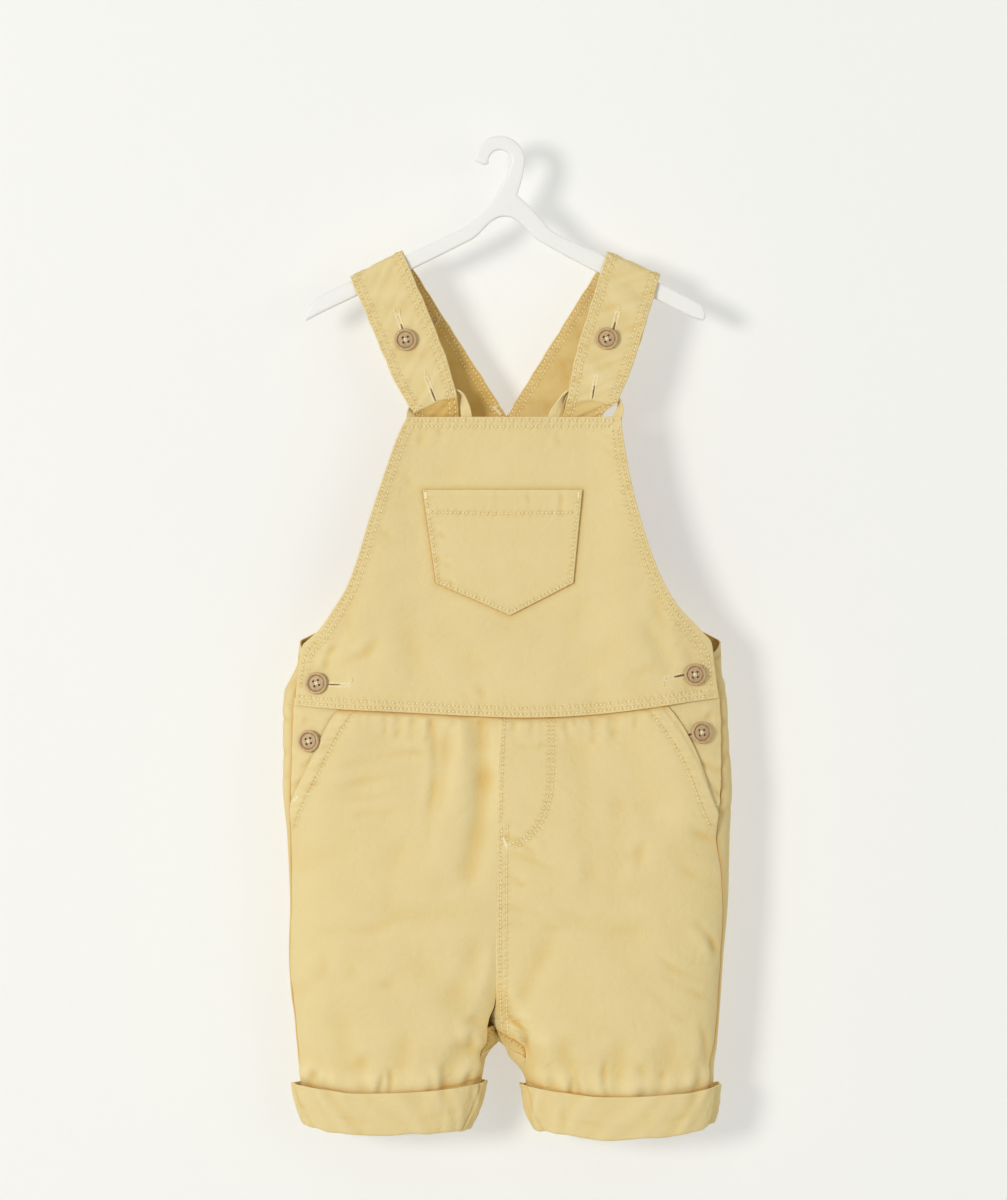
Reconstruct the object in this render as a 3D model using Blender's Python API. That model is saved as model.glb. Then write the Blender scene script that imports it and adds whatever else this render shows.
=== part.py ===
"""Child's short dungarees of cotton twill, hanging on a flat plastic hanger.

The frame has +Z up and the front facing -Y. The origin is the crown of the hanger's hook, where a
peg or rail carries it. Sizes below are in millimetres, and MM turns them into Blender's metres.
"Right" and "left" in the names are the wearer's, so the right leg lies at -X.

The cloth is cut from a body form: at each height a rounded outline, which splits into two lobes
towards the crotch and into two legs below it. Every panel is a wall on that form, and "lift" is
how far its outer face stands off the form, so that overlapping layers stay apart.
"""

import math
from collections import namedtuple

import bmesh
import bpy
from mathutils import Quaternion, Vector

MM = 0.001

# Cloth and seams
CLOTH = 1.2
STRAP_CLOTH = 1.8
STRAP_WIDE = 36.6
SEAM_GAP = 0.45
LAYER = CLOTH + SEAM_GAP
ROUNDNESS = 2.6
HALF_SEAM = 0.2
SEAM_BULK = 0.7
SEAM_TRIM = 0.3

# Heights
WAIST_Z = -357.0
BIB_TOP_Z = -168.5
BODICE_TOP_Z = -259.0
ARMHOLE_Z = -309.0
UNDERARM_Z = -322.0
OPENING_END_Z = -408.0
OPENING_FADE = 40.0
FACING_FOOT_Z = -424.0
CROTCH_Z = -567.0
HEM_Z = -619.0
TUCK = 5.0
UNDERLAP = 9.0

# Side outline of the body, its depth before and behind the middle, and how far the two leg lobes
# have parted at the centre seams: 0 is one round body, 1 is two legs that touch.
BodyRow = namedtuple("BodyRow", "z left right front back parted")
BODY = [
    BodyRow(-150.0, -128.0, 138.0, 8.6, 16.0, 0.00),
    BodyRow(-200.0, -128.0, 138.0, 10.2, 17.0, 0.00),
    BodyRow(-250.0, -127.0, 138.0, 12.8, 18.2, 0.00),
    BodyRow(-290.0, -126.0, 138.0, 15.5, 19.2, 0.00),
    BodyRow(-314.0, -126.6, 139.2, 17.5, 19.8, 0.00),
    BodyRow(-333.0, -131.0, 140.0, 18.5, 20.2, 0.00),
    BodyRow(-346.0, -135.5, 141.8, 19.0, 20.6, 0.00),
    BodyRow(-358.0, -136.7, 143.0, 19.5, 21.0, 0.00),
    BodyRow(-384.0, -136.7, 144.3, 21.0, 22.5, 0.08),
    BodyRow(-409.0, -136.7, 146.2, 22.5, 24.0, 0.18),
    BodyRow(-434.0, -134.2, 144.9, 23.5, 25.0, 0.28),
    BodyRow(-472.0, -132.3, 143.6, 24.5, 26.0, 0.44),
    BodyRow(-510.0, -132.9, 140.5, 24.5, 26.0, 0.66),
    BodyRow(-535.0, -131.6, 139.2, 24.0, 25.5, 0.82),
    BodyRow(-553.0, -129.5, 138.2, 23.0, 25.0, 0.93),
    BodyRow(-567.0, -128.5, 137.2, 22.5, 24.5, 1.00),
    BodyRow(-575.0, -127.8, 136.5, 21.5, 23.5, 1.00),
    BodyRow(-586.0, -127.0, 135.0, 20.0, 22.0, 1.00),
    BodyRow(-600.0, -125.5, 134.5, 18.0, 20.0, 1.00),
    BodyRow(-619.0, -121.5, 132.5, 16.5, 18.0, 1.00),
]

# Inner side of each leg below the crotch
InnerRow = namedtuple("InnerRow", "z right_leg left_leg")
INNER = [
    InnerRow(-567.0, -0.8, -0.4),
    InnerRow(-571.0, -4.8, 3.4),
    InnerRow(-577.0, -8.6, 5.8),
    InnerRow(-585.0, -10.3, 12.8),
    InnerRow(-592.0, -11.6, 16.0),
    InnerRow(-605.0, -15.6, 18.2),
    InnerRow(-619.0, -22.0, 24.6),
]

# Centre seam, front and back
CentreRow = namedtuple("CentreRow", "z x")
CENTRE = [
    CentreRow(-150.0, 3.0),
    CentreRow(-330.0, 2.0),
    CentreRow(-358.0, 0.6),
    CentreRow(-428.0, -1.6),
    CentreRow(-535.0, -2.2),
    CentreRow(-567.0, -0.6),
    CentreRow(-619.0, -0.6),
]

# Inner edges of the front legs: the foot of the front's centre seam, then the inseams. The left
# leg's edge runs aslant across the gap between the legs, above the back's.
FRONT_CROTCH_Z = -556.0
FrontEdgeRow = namedtuple("FrontEdgeRow", "z right_leg left_leg")
FRONT_EDGE = [
    FrontEdgeRow(-520.0, -2.4, -2.0),
    FrontEdgeRow(-541.0, -3.3, -2.9),
    FrontEdgeRow(-550.0, -6.6, -6.2),
    FrontEdgeRow(FRONT_CROTCH_Z, -7.4, -7.0),
    FrontEdgeRow(-560.0, -7.2, 0.4),
    FrontEdgeRow(-564.5, -7.8, 8.8),
    FrontEdgeRow(-567.6, -8.4, 14.0),
    FrontEdgeRow(-573.0, -12.2, 16.2),
    FrontEdgeRow(-584.0, -12.6, 16.0),
    FrontEdgeRow(-592.0, -14.6, 19.6),
    FrontEdgeRow(-605.0, -19.6, 22.2),
    FrontEdgeRow(-619.0, -26.0, 28.6),
]
# Height below the crotch in which the back leg's edge comes round to meet the front's
EDGES_MEET = 10.0

# How far the side seam, and the side edge above it, lies in from the outline, on the front
SeamRow = namedtuple("SeamRow", "z right_side left_side")
SIDE_SEAM = [
    SeamRow(-314.0, 2.5, 6.3),
    SeamRow(-330.0, 5.0, 6.0),
    SeamRow(-346.0, 7.0, 5.1),
    SeamRow(-376.0, 6.3, 4.8),
    SeamRow(-408.0, 5.3, 7.4),
    SeamRow(-434.0, 2.8, 9.0),
    SeamRow(-455.0, 1.6, 5.4),
    SeamRow(-495.0, 1.0, 2.4),
    SeamRow(-535.0, 1.0, 1.8),
    SeamRow(-570.0, 1.0, 2.0),
    SeamRow(-586.0, 1.0, 3.5),
    SeamRow(-619.0, 1.5, 3.5),
]

# Columns of the panels' grids
FRONT_COLUMNS = 19
BACK_COLUMNS = 23
BODICE_COLUMNS = 15
BIB_COLUMNS = 20
CUFF_COLUMNS = 32
COURSE_STEPS = 2
CROWDING = 0.35
BIB_CROWDING = 0.62

# Waist seam, seen from the front
WaistRow = namedtuple("WaistRow", "x z")
WAIST = [
    WaistRow(-140.0, -348.8),
    WaistRow(-98.0, -352.3),
    WaistRow(-64.0, -353.8),
    WaistRow(0.0, -357.0),
    WaistRow(31.0, -357.0),
    WaistRow(62.0, -355.1),
    WaistRow(94.0, -351.3),
    WaistRow(119.0, -347.5),
    WaistRow(145.0, -344.4),
]

# Bib outline
BibRow = namedtuple("BibRow", "z left right")
BIB = [
    BibRow(-168.5, -58.6, 75.9),
    BibRow(-182.0, -64.9, 77.5),
    BibRow(-207.0, -73.7, 81.9),
    BibRow(-232.0, -81.9, 88.2),
    BibRow(-257.5, -89.5, 96.4),
    BibRow(-276.0, -96.4, 104.5),
    BibRow(-289.0, -103.9, 112.2),
    BibRow(-302.0, -111.8, 122.5),
    BibRow(-310.0, -118.4, 128.5),
    BibRow(-316.0, -124.0, 132.6),
    BibRow(-331.0, -126.4, 134.4),
    BibRow(-357.0, -128.8, 137.4),
]

# Slanted pocket mouths in the front legs
MouthRow = namedtuple("MouthRow", "z right_side left_side")
MOUTH = [
    MouthRow(-340.0, -91.0, 94.5),
    MouthRow(-352.0, -98.3, 101.6),
    MouthRow(-369.0, -109.2, 113.6),
    MouthRow(-386.0, -117.4, 122.8),
    MouthRow(-400.0, -124.6, 128.3),
    MouthRow(-411.0, -129.9, 132.4),
    MouthRow(-422.0, -134.0, 137.4),
    MouthRow(-440.0, -140.0, 146.0),
]
POCKET_UNDERLAP = 10.0

# Back bodice edge from the armhole corner up to the strap
ArmholeRow = namedtuple("ArmholeRow", "z left right")
ARMHOLE = [
    ArmholeRow(-309.0, -126.5, 139.0),
    ArmholeRow(-301.5, -112.0, 125.0),
    ArmholeRow(-291.0, -98.0, 111.5),
    ArmholeRow(-275.0, -78.5, 89.0),
    ArmholeRow(-259.0, -60.5, 69.5),
]

# Bib pocket: a straight mouth and a pointed foot
POCKET_LEFT, POCKET_RIGHT = -48.5, 51.7
POCKET_FOOT_LEFT, POCKET_FOOT_RIGHT = -40.0, 46.0
POCKET_TOP_Z, POCKET_CORNER_Z, POCKET_TIP_Z = -214.5, -273.0, -293.3
POCKET_TIP = 0.54

# Soft folds pressed into the form, as troughs from one point to another; "deep" is inwards, so a
# negative one is a ridge.
Fold = namedtuple("Fold", "x0 z0 x1 z1 wide deep")
FRONT_FOLDS = [
    Fold(-11.0, -352.0, -14.0, -440.0, 7.0, 1.6),
    Fold(-30.0, -352.0, -38.0, -412.0, 6.0, 0.9),
    Fold(48.0, -356.0, 56.0, -430.0, 9.0, 0.9),
    Fold(-40.0, -470.0, -8.0, -425.0, 12.0, 1.0),
    Fold(6.0, -548.0, 34.0, -490.0, 7.0, 1.2),
    Fold(-8.0, -548.0, -60.0, -505.0, 12.0, 1.3),
    Fold(-90.0, -585.0, -104.0, -540.0, 9.0, 1.4),
    Fold(-66.0, -590.0, -58.0, -556.0, 7.0, 1.4),
    Fold(-34.0, -590.0, -22.0, -556.0, 7.0, 1.6),
    Fold(48.0, -590.0, 38.0, -560.0, 7.0, 1.5),
    Fold(72.0, -592.0, 76.0, -560.0, 8.0, 1.5),
    Fold(104.0, -590.0, 108.0, -552.0, 9.0, 1.2),
    Fold(-112.0, -338.0, -96.0, -300.0, 5.0, 1.3),
    Fold(-88.0, -345.0, -72.0, -280.0, 9.0, 1.0),
    Fold(112.0, -340.0, 92.0, -292.0, 7.0, 1.1),
    Fold(-70.0, -420.0, -78.0, -520.0, 16.0, 1.0),
    Fold(70.0, -430.0, 82.0, -520.0, 16.0, 1.0),
]
BACK_FOLDS = [
    Fold(-24.0, -385.0, -46.0, -470.0, 12.0, 1.6),
    Fold(36.0, -385.0, 52.0, -480.0, 12.0, 1.5),
    Fold(-86.0, -390.0, -92.0, -500.0, 13.0, 1.2),
    Fold(98.0, -390.0, 96.0, -500.0, 13.0, 1.2),
    Fold(-8.0, -540.0, -58.0, -500.0, 10.0, 1.5),
    Fold(8.0, -540.0, 62.0, -498.0, 10.0, 1.5),
    Fold(-70.0, -590.0, -64.0, -550.0, 8.0, 1.5),
    Fold(-34.0, -590.0, -26.0, -556.0, 8.0, 1.5),
    Fold(50.0, -590.0, 42.0, -556.0, 8.0, 1.5),
    Fold(88.0, -590.0, 94.0, -552.0, 8.0, 1.5),
]

# Gathers that the elastic draws into the back of the waist
GATHER_WAVE = 23.0
GATHER_DEEP = 1.3
GATHER_BELOW, GATHER_ABOVE = 30.0, 16.0

# Turned-up cuffs: the upper edge and the foot of each, across the leg
CuffRow = namedtuple("CuffRow", "across top foot")
RIGHT_CUFF = [
    CuffRow(0.00, -587.0, -611.0),
    CuffRow(0.10, -589.0, -615.5),
    CuffRow(0.30, -592.4, -618.5),
    CuffRow(0.60, -592.0, -618.7),
    CuffRow(0.85, -588.5, -617.2),
    CuffRow(1.00, -584.0, -616.8),
]
LEFT_CUFF = [
    CuffRow(0.00, -587.5, -611.5),
    CuffRow(0.10, -591.5, -617.0),
    CuffRow(0.35, -594.6, -621.0),
    CuffRow(0.60, -594.6, -622.0),
    CuffRow(0.85, -590.5, -618.0),
    CuffRow(1.00, -586.5, -617.0),
]
CUFF_FLARE_OUTER, CUFF_FLARE_INNER, CUFF_FLARE_FOOT = 2.6, 0.5, 0.5
CUFF_TURN = 4.6
CUFF_LOOSE = 0.7

# Hanger, a flat board of plastic with a rounded rim
HANGER_THICK = 7.0
HANGER_BEVEL = 1.4
HOOK_SEAT_RADIUS = 7.1
HOOK_RADIUS = 15.8

# Buttons
BUTTON_RADIUS = 7.0
BUTTON_THICK = 2.6
BUTTON_SIDES = 16
BUTTON_HOLE_RADIUS = 0.8
BUTTON_HOLE_SPACING = 2.2
BUTTON_OFF = 1.1
HIP_LEAN = 6.0
ButtonSpot = namedtuple("ButtonSpot", "name side x z spin")
BIB_BUTTONS = [
    ButtonSpot("button_bib_right", -1, -114.7, -336.2, 15.0),
    ButtonSpot("button_bib_left", 1, 121.9, -330.5, 5.0),
]
HIP_BUTTONS = [
    ButtonSpot("button_hip_right", -1, -119.4, -372.1, 12.0),
    ButtonSpot("button_hip_left", 1, 126.0, -366.8, 4.0),
]

TWILL = ("twill", (0.77, 0.61, 0.28, 1.0), 0.9)
WOOD = ("coconut_wood", (0.48, 0.29, 0.15, 1.0), 0.6)
PLASTIC = ("white_plastic", (0.82, 0.82, 0.80, 1.0), 0.35)


# ---------------------------------------------------------------- small helpers


def clear_scene():
    for obj in list(bpy.data.objects):
        bpy.data.objects.remove(obj, do_unlink=True)


def material(look):
    """The Principled material of this name, made on first use."""
    name, colour, roughness = look
    found = bpy.data.materials.get(name)
    if found:
        return found
    made = bpy.data.materials.new(name)
    made.use_nodes = True
    shader = made.node_tree.nodes["Principled BSDF"]
    shader.inputs["Base Color"].default_value = colour
    shader.inputs["Roughness"].default_value = roughness
    made.diffuse_color = colour
    return made


def smooth_step(value):
    value = min(1.0, max(0.0, value))
    return value * value * (3.0 - 2.0 * value)


def along(rows, at, column, key="z"):
    """A table's column at a place along its key column, on a smooth curve through the rows."""
    keys = [getattr(row, key) for row in rows]
    values = [getattr(row, column) for row in rows]
    if keys[0] > keys[-1]:
        keys.reverse()
        values.reverse()
    if at <= keys[0]:
        return values[0]
    if at >= keys[-1]:
        return values[-1]
    i = max(k for k in range(len(keys) - 1) if keys[k] <= at)

    def slope(k):
        low, high = max(k - 1, 0), min(k + 1, len(keys) - 1)
        return (values[high] - values[low]) / (keys[high] - keys[low])

    span = keys[i + 1] - keys[i]
    t = (at - keys[i]) / span
    return (
        values[i] * (2 * t**3 - 3 * t**2 + 1)
        + values[i + 1] * (3 * t**2 - 2 * t**3)
        + slope(i) * span * (t**3 - 2 * t**2 + t)
        + slope(i + 1) * span * (t**3 - t**2)
    )


def finish(name, mesh, look):
    """Makes the object of a bmesh whose coordinates are in millimetres."""
    bmesh.ops.scale(mesh, vec=(MM, MM, MM), verts=mesh.verts)
    bmesh.ops.recalc_face_normals(mesh, faces=mesh.faces)
    data = bpy.data.meshes.new(name)
    mesh.to_mesh(data)
    mesh.free()
    data.materials.append(material(look))
    data.shade_smooth()
    data.set_sharp_from_angle(angle=math.radians(50))
    obj = bpy.data.objects.new(name, data)
    bpy.context.scene.collection.objects.link(obj)
    return obj


# ---------------------------------------------------------------- the body form


def crowded(share, crowd):
    """Draws a share from 0 to 1 towards the nearer end."""
    return share - crowd * math.sin(2 * math.pi * share) / (2 * math.pi)


def outer_x(side, z):
    return along(BODY, z, "left" if side < 0 else "right")


def lobe(side, z):
    """Centre and half-width of one leg's outline. Above the crotch it runs on past the centre
    seam, far enough to keep the body one round form at the waist."""
    outer = outer_x(side, z)
    if z <= CROTCH_Z:
        inner = along(INNER, z, "right_leg" if side < 0 else "left_leg")
        return (outer + inner) / 2, abs(outer - inner) / 2
    middle = along(CENTRE, z, "x") + side * HALF_SEAM
    half = abs(middle - outer) / (1 + along(BODY, z, "parted"))
    return outer - side * half, half


def form_point(side, z, turn):
    """A point of the form. turn is 0 at the outer side, runs over the front to pi at the inner
    side, and over the back to -pi."""
    centre, half = lobe(side, z)
    power = 2 / ROUNDNESS
    cos, sin = math.cos(turn), math.sin(turn)
    x = centre + side * half * math.copysign(abs(cos) ** power, cos)
    depth = along(BODY, z, "front" if sin > 0 else "back")
    return Vector((x, -depth * math.copysign(abs(sin) ** power, sin), z))


def turn_at(side, z, x):
    """The turn, on the front, at which the form reaches x."""
    centre, half = lobe(side, z)
    share = max(-1.0, min(1.0, side * (x - centre) / half))
    return math.acos(math.copysign(abs(share) ** (ROUNDNESS / 2), share))


def form_normal(side, z, turn):
    """The outward normal of the form."""
    small = 0.004
    across = form_point(side, z, turn + small) - form_point(side, z, turn - small)
    down = form_point(side, z + 0.5, turn) - form_point(side, z - 0.5, turn)
    normal = across.cross(down).normalized()
    return normal * -side


def raised_turn(side, z, x, lift):
    """The turn, on the front, at which a face that stands off the form reaches x."""
    base = x
    for _ in range(8):
        normal = form_normal(side, z, turn_at(side, z, base))
        base = (base + x - normal.x * lift) / 2
    return turn_at(side, z, base)


def arc(side, z, start, end, count, trim=0.0, crowd=0.0):
    """Turns from start to end that divide the form's outline there. trim is cut off each end, in
    millimetres, and crowd draws the columns together towards both ends."""
    fine = 72
    turns = [start + (end - start) * k / fine for k in range(fine + 1)]
    places = [form_point(side, z, t) for t in turns]
    lengths = [0.0]
    for a, b in zip(places, places[1:]):
        lengths.append(lengths[-1] + (b - a).length)
    found = []
    for k in range(count + 1):
        goal = trim + (lengths[-1] - 2 * trim) * crowded(k / count, crowd)
        i = max(j for j in range(fine) if lengths[j] <= goal + 1e-9)
        step = lengths[i + 1] - lengths[i]
        found.append(turns[i] + (turns[i + 1] - turns[i]) * (goal - lengths[i]) / max(step, 1e-9))
    return found


def waist_z(x):
    return along(WAIST, x, "z", key="x")


def fold_depth(folds, x, z):
    """How far all the folds press the form in at a place. They die out at the waist seam."""
    total = 0.0
    for fold in folds:
        dx, dz = fold.x1 - fold.x0, fold.z1 - fold.z0
        length = math.hypot(dx, dz)
        share = ((x - fold.x0) * dx + (z - fold.z0) * dz) / length**2
        off = ((x - fold.x0) * dz - (z - fold.z0) * dx) / length
        fade = smooth_step(1.5 - abs(share - 0.5) * 2)
        total += fold.deep * fade * math.exp(-((off / fold.wide) ** 2))
    return total * smooth_step((abs(waist_z(x) - z) - 6.0) / 14.0)


def opening(z):
    """1 beside the buttoned side opening, fading out below its end."""
    return smooth_step((z - OPENING_END_Z) / OPENING_FADE + 1.0)


def mouth_x(side, z):
    return along(MOUTH, z, "right_side" if side < 0 else "left_side")


def front_lift(side, x, z):
    """Lift of the front leg: it passes over the pocket facing and the buttoned underlap."""
    inset = side * (outer_x(side, z) - x)
    mouth_inset = side * (outer_x(side, z) - mouth_x(side, max(z, OPENING_END_Z)))
    near = 1 - smooth_step((inset - mouth_inset - POCKET_UNDERLAP - 2.0) / 30.0)
    return 2 * LAYER * opening(z) * near - fold_depth(FRONT_FOLDS, x, z)


def facing_lift(side, x, z):
    """Lift of the pocket facing, one layer under the front leg."""
    return front_lift(side, x, z) - LAYER


def back_lift(side, x, z):
    """Lift of the back panels, with the gathers of the elastic waist. The sides lie flat."""
    below = waist_z(x) - z
    reach = GATHER_BELOW if below > 0 else GATHER_ABOVE
    wave = math.cos(2 * math.pi * x / GATHER_WAVE + 1.3 * math.sin(x / 23.0))
    gather = GATHER_DEEP * math.exp(-abs(below) / reach) * wave
    inset = side * (outer_x(side, z) - x)
    return (gather - fold_depth(BACK_FOLDS, x, z)) * smooth_step((inset - 14.0) / 24.0)


# ---------------------------------------------------------------- walls of cloth


def wall(name, outer, inner):
    """A closed wall between two grids of points, with a rim all round."""
    mesh = bmesh.new()
    sheets = [[[mesh.verts.new(p) for p in row] for row in grid] for grid in (outer, inner)]
    rows, columns = len(outer), len(outer[0])
    for sheet in sheets:
        for j in range(rows - 1):
            for i in range(columns - 1):
                mesh.faces.new(
                    (sheet[j][i], sheet[j][i + 1], sheet[j + 1][i + 1], sheet[j + 1][i])
                )
    rim = (
        [(0, i) for i in range(columns)]
        + [(j, columns - 1) for j in range(1, rows)]
        + [(rows - 1, i) for i in range(columns - 2, -1, -1)]
        + [(j, 0) for j in range(rows - 2, 0, -1)]
    )
    for (j, i), (l, k) in zip(rim, rim[1:] + rim[:1]):
        mesh.faces.new((sheets[0][j][i], sheets[0][l][k], sheets[1][l][k], sheets[1][j][i]))
    return finish(name, mesh, TWILL)


def levels(top, bottom, count):
    """Even heights from top to bottom."""
    return [top + (bottom - top) * k / count for k in range(count + 1)]


def settled_z(z, x, top, bottom):
    """A level's height at x: near the waist it follows the waist seam."""
    share = (z - bottom) / (top - bottom)
    return z + (waist_z(x) - WAIST_Z) * smooth_step(share * 2.2 - 1.2)


def cuff_table(side):
    return RIGHT_CUFF if side < 0 else LEFT_CUFF


def cuff_across(side, x):
    """0 at a leg's outer side and 1 at its inner side, at the hem."""
    outer = outer_x(side, HEM_Z + 19)
    inner = along(INNER, HEM_Z + 19, "right_leg" if side < 0 else "left_leg")
    return (x - outer) / (inner - outer)


def cuff_foot(side, x):
    return along(cuff_table(side), cuff_across(side, x), "foot", key="across")


def leg_z(side, z, x, top, bottom):
    """A level's height at x, bent to the waist seam above and to the cuff's foot below."""
    down = smooth_step((top - z - 120.0) / (top - bottom - 120.0))
    foot = cuff_foot(side, x) + CUFF_TURN + 2 * SEAM_GAP - bottom
    return settled_z(z, x, top, bottom) + foot * down


def panel_rows(side, heights, span, columns, lift, to_z):
    """The outer and inner grids of a panel. span gives a row's first and last turn."""
    outer, inner = [], []
    for z in heights:
        start, end = span(z)
        over, under = [], []
        for turn in arc(side, z, start, end, columns, SEAM_TRIM, CROWDING):
            base = form_point(side, z, turn)
            normal = form_normal(side, z, turn)
            height = to_z(z, base.x)
            stands = lift(base.x, height)
            place = Vector((base.x, base.y, height))
            over.append(place + normal * stands)
            under.append(place + normal * (stands - CLOTH))
        outer.append(over)
        inner.append(under)
    return outer, inner


def seam_x(side, z):
    return outer_x(side, z) - side * along(SIDE_SEAM, z, "right_side" if side < 0 else "left_side")


def seam_turn(side, z):
    """The turn at which the side seam lies."""
    return turn_at(side, z, seam_x(side, z))


def centre_turn(side, z):
    """The turn at which a panel meets the centre seam."""
    return turn_at(side, z, along(CENTRE, z, "x") + side * HALF_SEAM)


def front_edge_turn(side, z):
    """The turn at which the front panel ends: the centre seam above the crotch and the inseam
    below it, which lies a little to the front of the leg's inner side."""
    if z > FRONT_EDGE[0].z:
        return centre_turn(side, z)
    return turn_at(side, z, along(FRONT_EDGE, z, "right_leg" if side < 0 else "left_leg"))


def shifted(side, z, turn, distance):
    """The turn that lies a distance further on towards the front of the form."""
    step = 0.01
    moved = 0.0
    here = form_point(side, z, turn)
    while moved < distance:
        turn += step
        there = form_point(side, z, turn)
        moved += (there - here).length
        here = there
    return turn


def leg_heights(top):
    """Levels of a leg panel: close together at the opening's end and at the crotch."""
    body = [top, -364.0, -377.0, -391.0, OPENING_END_Z, -419.0, -430.0, -441.0, -454.0]
    body += levels(-473.0, -539.0, 3)
    body += [-549.0, FRONT_CROTCH_Z, FRONT_CROTCH_Z - 4.0]
    legs = [CROTCH_Z + 2.0, CROTCH_Z, CROTCH_Z - 3.5, CROTCH_Z - 9.0, CROTCH_Z - 18.0]
    return body + legs + [CROTCH_Z - 32.0, HEM_Z]


def front_leg(name, side):
    """The front leg, from its slanted pocket mouth or side seam to the centre seam."""
    top = WAIST_Z + TUCK

    def span(z):
        x = seam_x(side, z)
        if side * (x - mouth_x(side, z)) > 0:
            x = mouth_x(side, z)
        return raised_turn(side, z, x, front_lift(side, x, z)), front_edge_turn(side, z)

    outer, inner = panel_rows(
        side,
        leg_heights(top),
        span,
        FRONT_COLUMNS,
        lambda x, z: front_lift(side, x, z),
        lambda z, x: leg_z(side, z, x, top, HEM_Z),
    )
    return wall(name, outer, inner)


def back_leg(name, side):
    """The back leg; beside the opening it runs on under the front as the buttons' underlap."""
    top = WAIST_Z - SEAM_GAP / 2

    def span(z):
        start = seam_turn(side, z)
        if z >= OPENING_END_Z:
            start = shifted(side, z, start, UNDERLAP)
        if z > CROTCH_Z:
            return start, -centre_turn(side, z)
        near, far = centre_turn(side, CROTCH_Z), front_edge_turn(side, z)
        return start, near + (far - near) * smooth_step((CROTCH_Z - z) / EDGES_MEET) - 2 * math.pi

    outer, inner = panel_rows(
        side,
        leg_heights(top),
        span,
        BACK_COLUMNS,
        lambda x, z: back_lift(side, x, z),
        lambda z, x: leg_z(side, z, x, top, HEM_Z),
    )
    return wall(name, outer, inner)


def pocket_facing(name, side):
    """The side piece behind a slanted pocket mouth; its side edge carries the buttonholes."""
    top = WAIST_Z + TUCK

    def span(z):
        x = seam_x(side, z)
        start = raised_turn(side, z, x, facing_lift(side, x, z))
        return start, turn_at(side, z, mouth_x(side, z) - side * POCKET_UNDERLAP)

    outer, inner = panel_rows(
        side,
        levels(top, FACING_FOOT_Z, 8),
        span,
        8,
        lambda x, z: facing_lift(side, x, z),
        lambda z, x: settled_z(z, x, top, HEM_Z),
    )
    return wall(name, outer, inner)


def bib_lift(x, z):
    """The bib lies one layer out: over the front leg, and beyond its pocket mouth over the facing.
    It stands off a little more where it covers the waist seam."""
    side = -1 if x < along(CENTRE, z, "x") else 1
    seam = SEAM_BULK * (1 - smooth_step((z - waist_z(x)) / 22.0))
    beyond = side * (x - mouth_x(side, WAIST_Z))
    return front_lift(side, x, z) + LAYER * (1 - 0.8 * smooth_step((beyond - 3.0) / 14.0)) + seam


def bib_point(x, z, extra):
    """A point on the bib's outer face, or further out, and the normal there."""
    side = -1 if x < along(CENTRE, z, "x") else 1
    lift = bib_lift(x, z) + extra
    turn = raised_turn(side, z, x, lift)
    normal = form_normal(side, z, turn)
    return form_point(side, z, turn) + normal * lift, normal


def bib_level(z, x):
    """A bib level's height at x: the foot follows the waist seam."""
    share = smooth_step((WAIST_Z + 90.0 - z) / 90.0)
    return z + (waist_z(x) - WAIST_Z) * share


def bib():
    heights = levels(BIB_TOP_Z, -302.0, 8) + [-309.0, -315.5, -326.0, -338.0, -349.0, WAIST_Z]
    outer, inner = [], []
    for z in heights:
        left, right = along(BIB, z, "left"), along(BIB, z, "right")
        over, under = [], []
        for k in range(BIB_COLUMNS + 1):
            x = left + (right - left) * crowded(k / BIB_COLUMNS, BIB_CROWDING)
            place, normal = bib_point(x, bib_level(z, x), 0.0)
            over.append(place)
            under.append(place - normal * CLOTH)
        outer.append(over)
        inner.append(under)
    return wall("bib", outer, inner)


def bib_pocket():
    """The pocket follows the bib's own points, one layer out. Its foot is a point."""
    columns, rows = 11, 6
    outer, inner = [], []
    for j in range(rows + 1):
        down = j / rows
        over, under = [], []
        for k in range(columns + 1):
            across = k / columns
            left = POCKET_LEFT + (POCKET_FOOT_LEFT - POCKET_LEFT) * down
            right = POCKET_RIGHT + (POCKET_FOOT_RIGHT - POCKET_RIGHT) * down
            x = left + (right - left) * across
            if across < POCKET_TIP:
                share = across / POCKET_TIP
            else:
                share = (1 - across) / (1 - POCKET_TIP)
            foot = POCKET_CORNER_Z + (POCKET_TIP_Z - POCKET_CORNER_Z) * share
            place, normal = bib_point(x, POCKET_TOP_Z + (foot - POCKET_TOP_Z) * down, LAYER)
            over.append(place)
            under.append(place - normal * CLOTH)
        outer.append(over)
        inner.append(under)
    return wall("bib_pocket", outer, inner)


def bodice_turn(side, z):
    """Where the back bodice's edge lies: under the bib's edge below the armhole, and on the back
    above its corner."""
    if z <= UNDERARM_Z:
        return shifted(side, z, seam_turn(side, z), UNDERLAP)
    if z < ARMHOLE_Z:
        under = shifted(side, UNDERARM_Z, seam_turn(side, UNDERARM_Z), UNDERLAP)
        return under * (ARMHOLE_Z - z) / (ARMHOLE_Z - UNDERARM_Z)
    x = along(ARMHOLE, z, "left" if side < 0 else "right")
    centre, half = lobe(side, z)
    share = min(1.0, side * (x - centre) / half)
    return -math.acos(max(0.0, share) ** (ROUNDNESS / 2))


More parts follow.
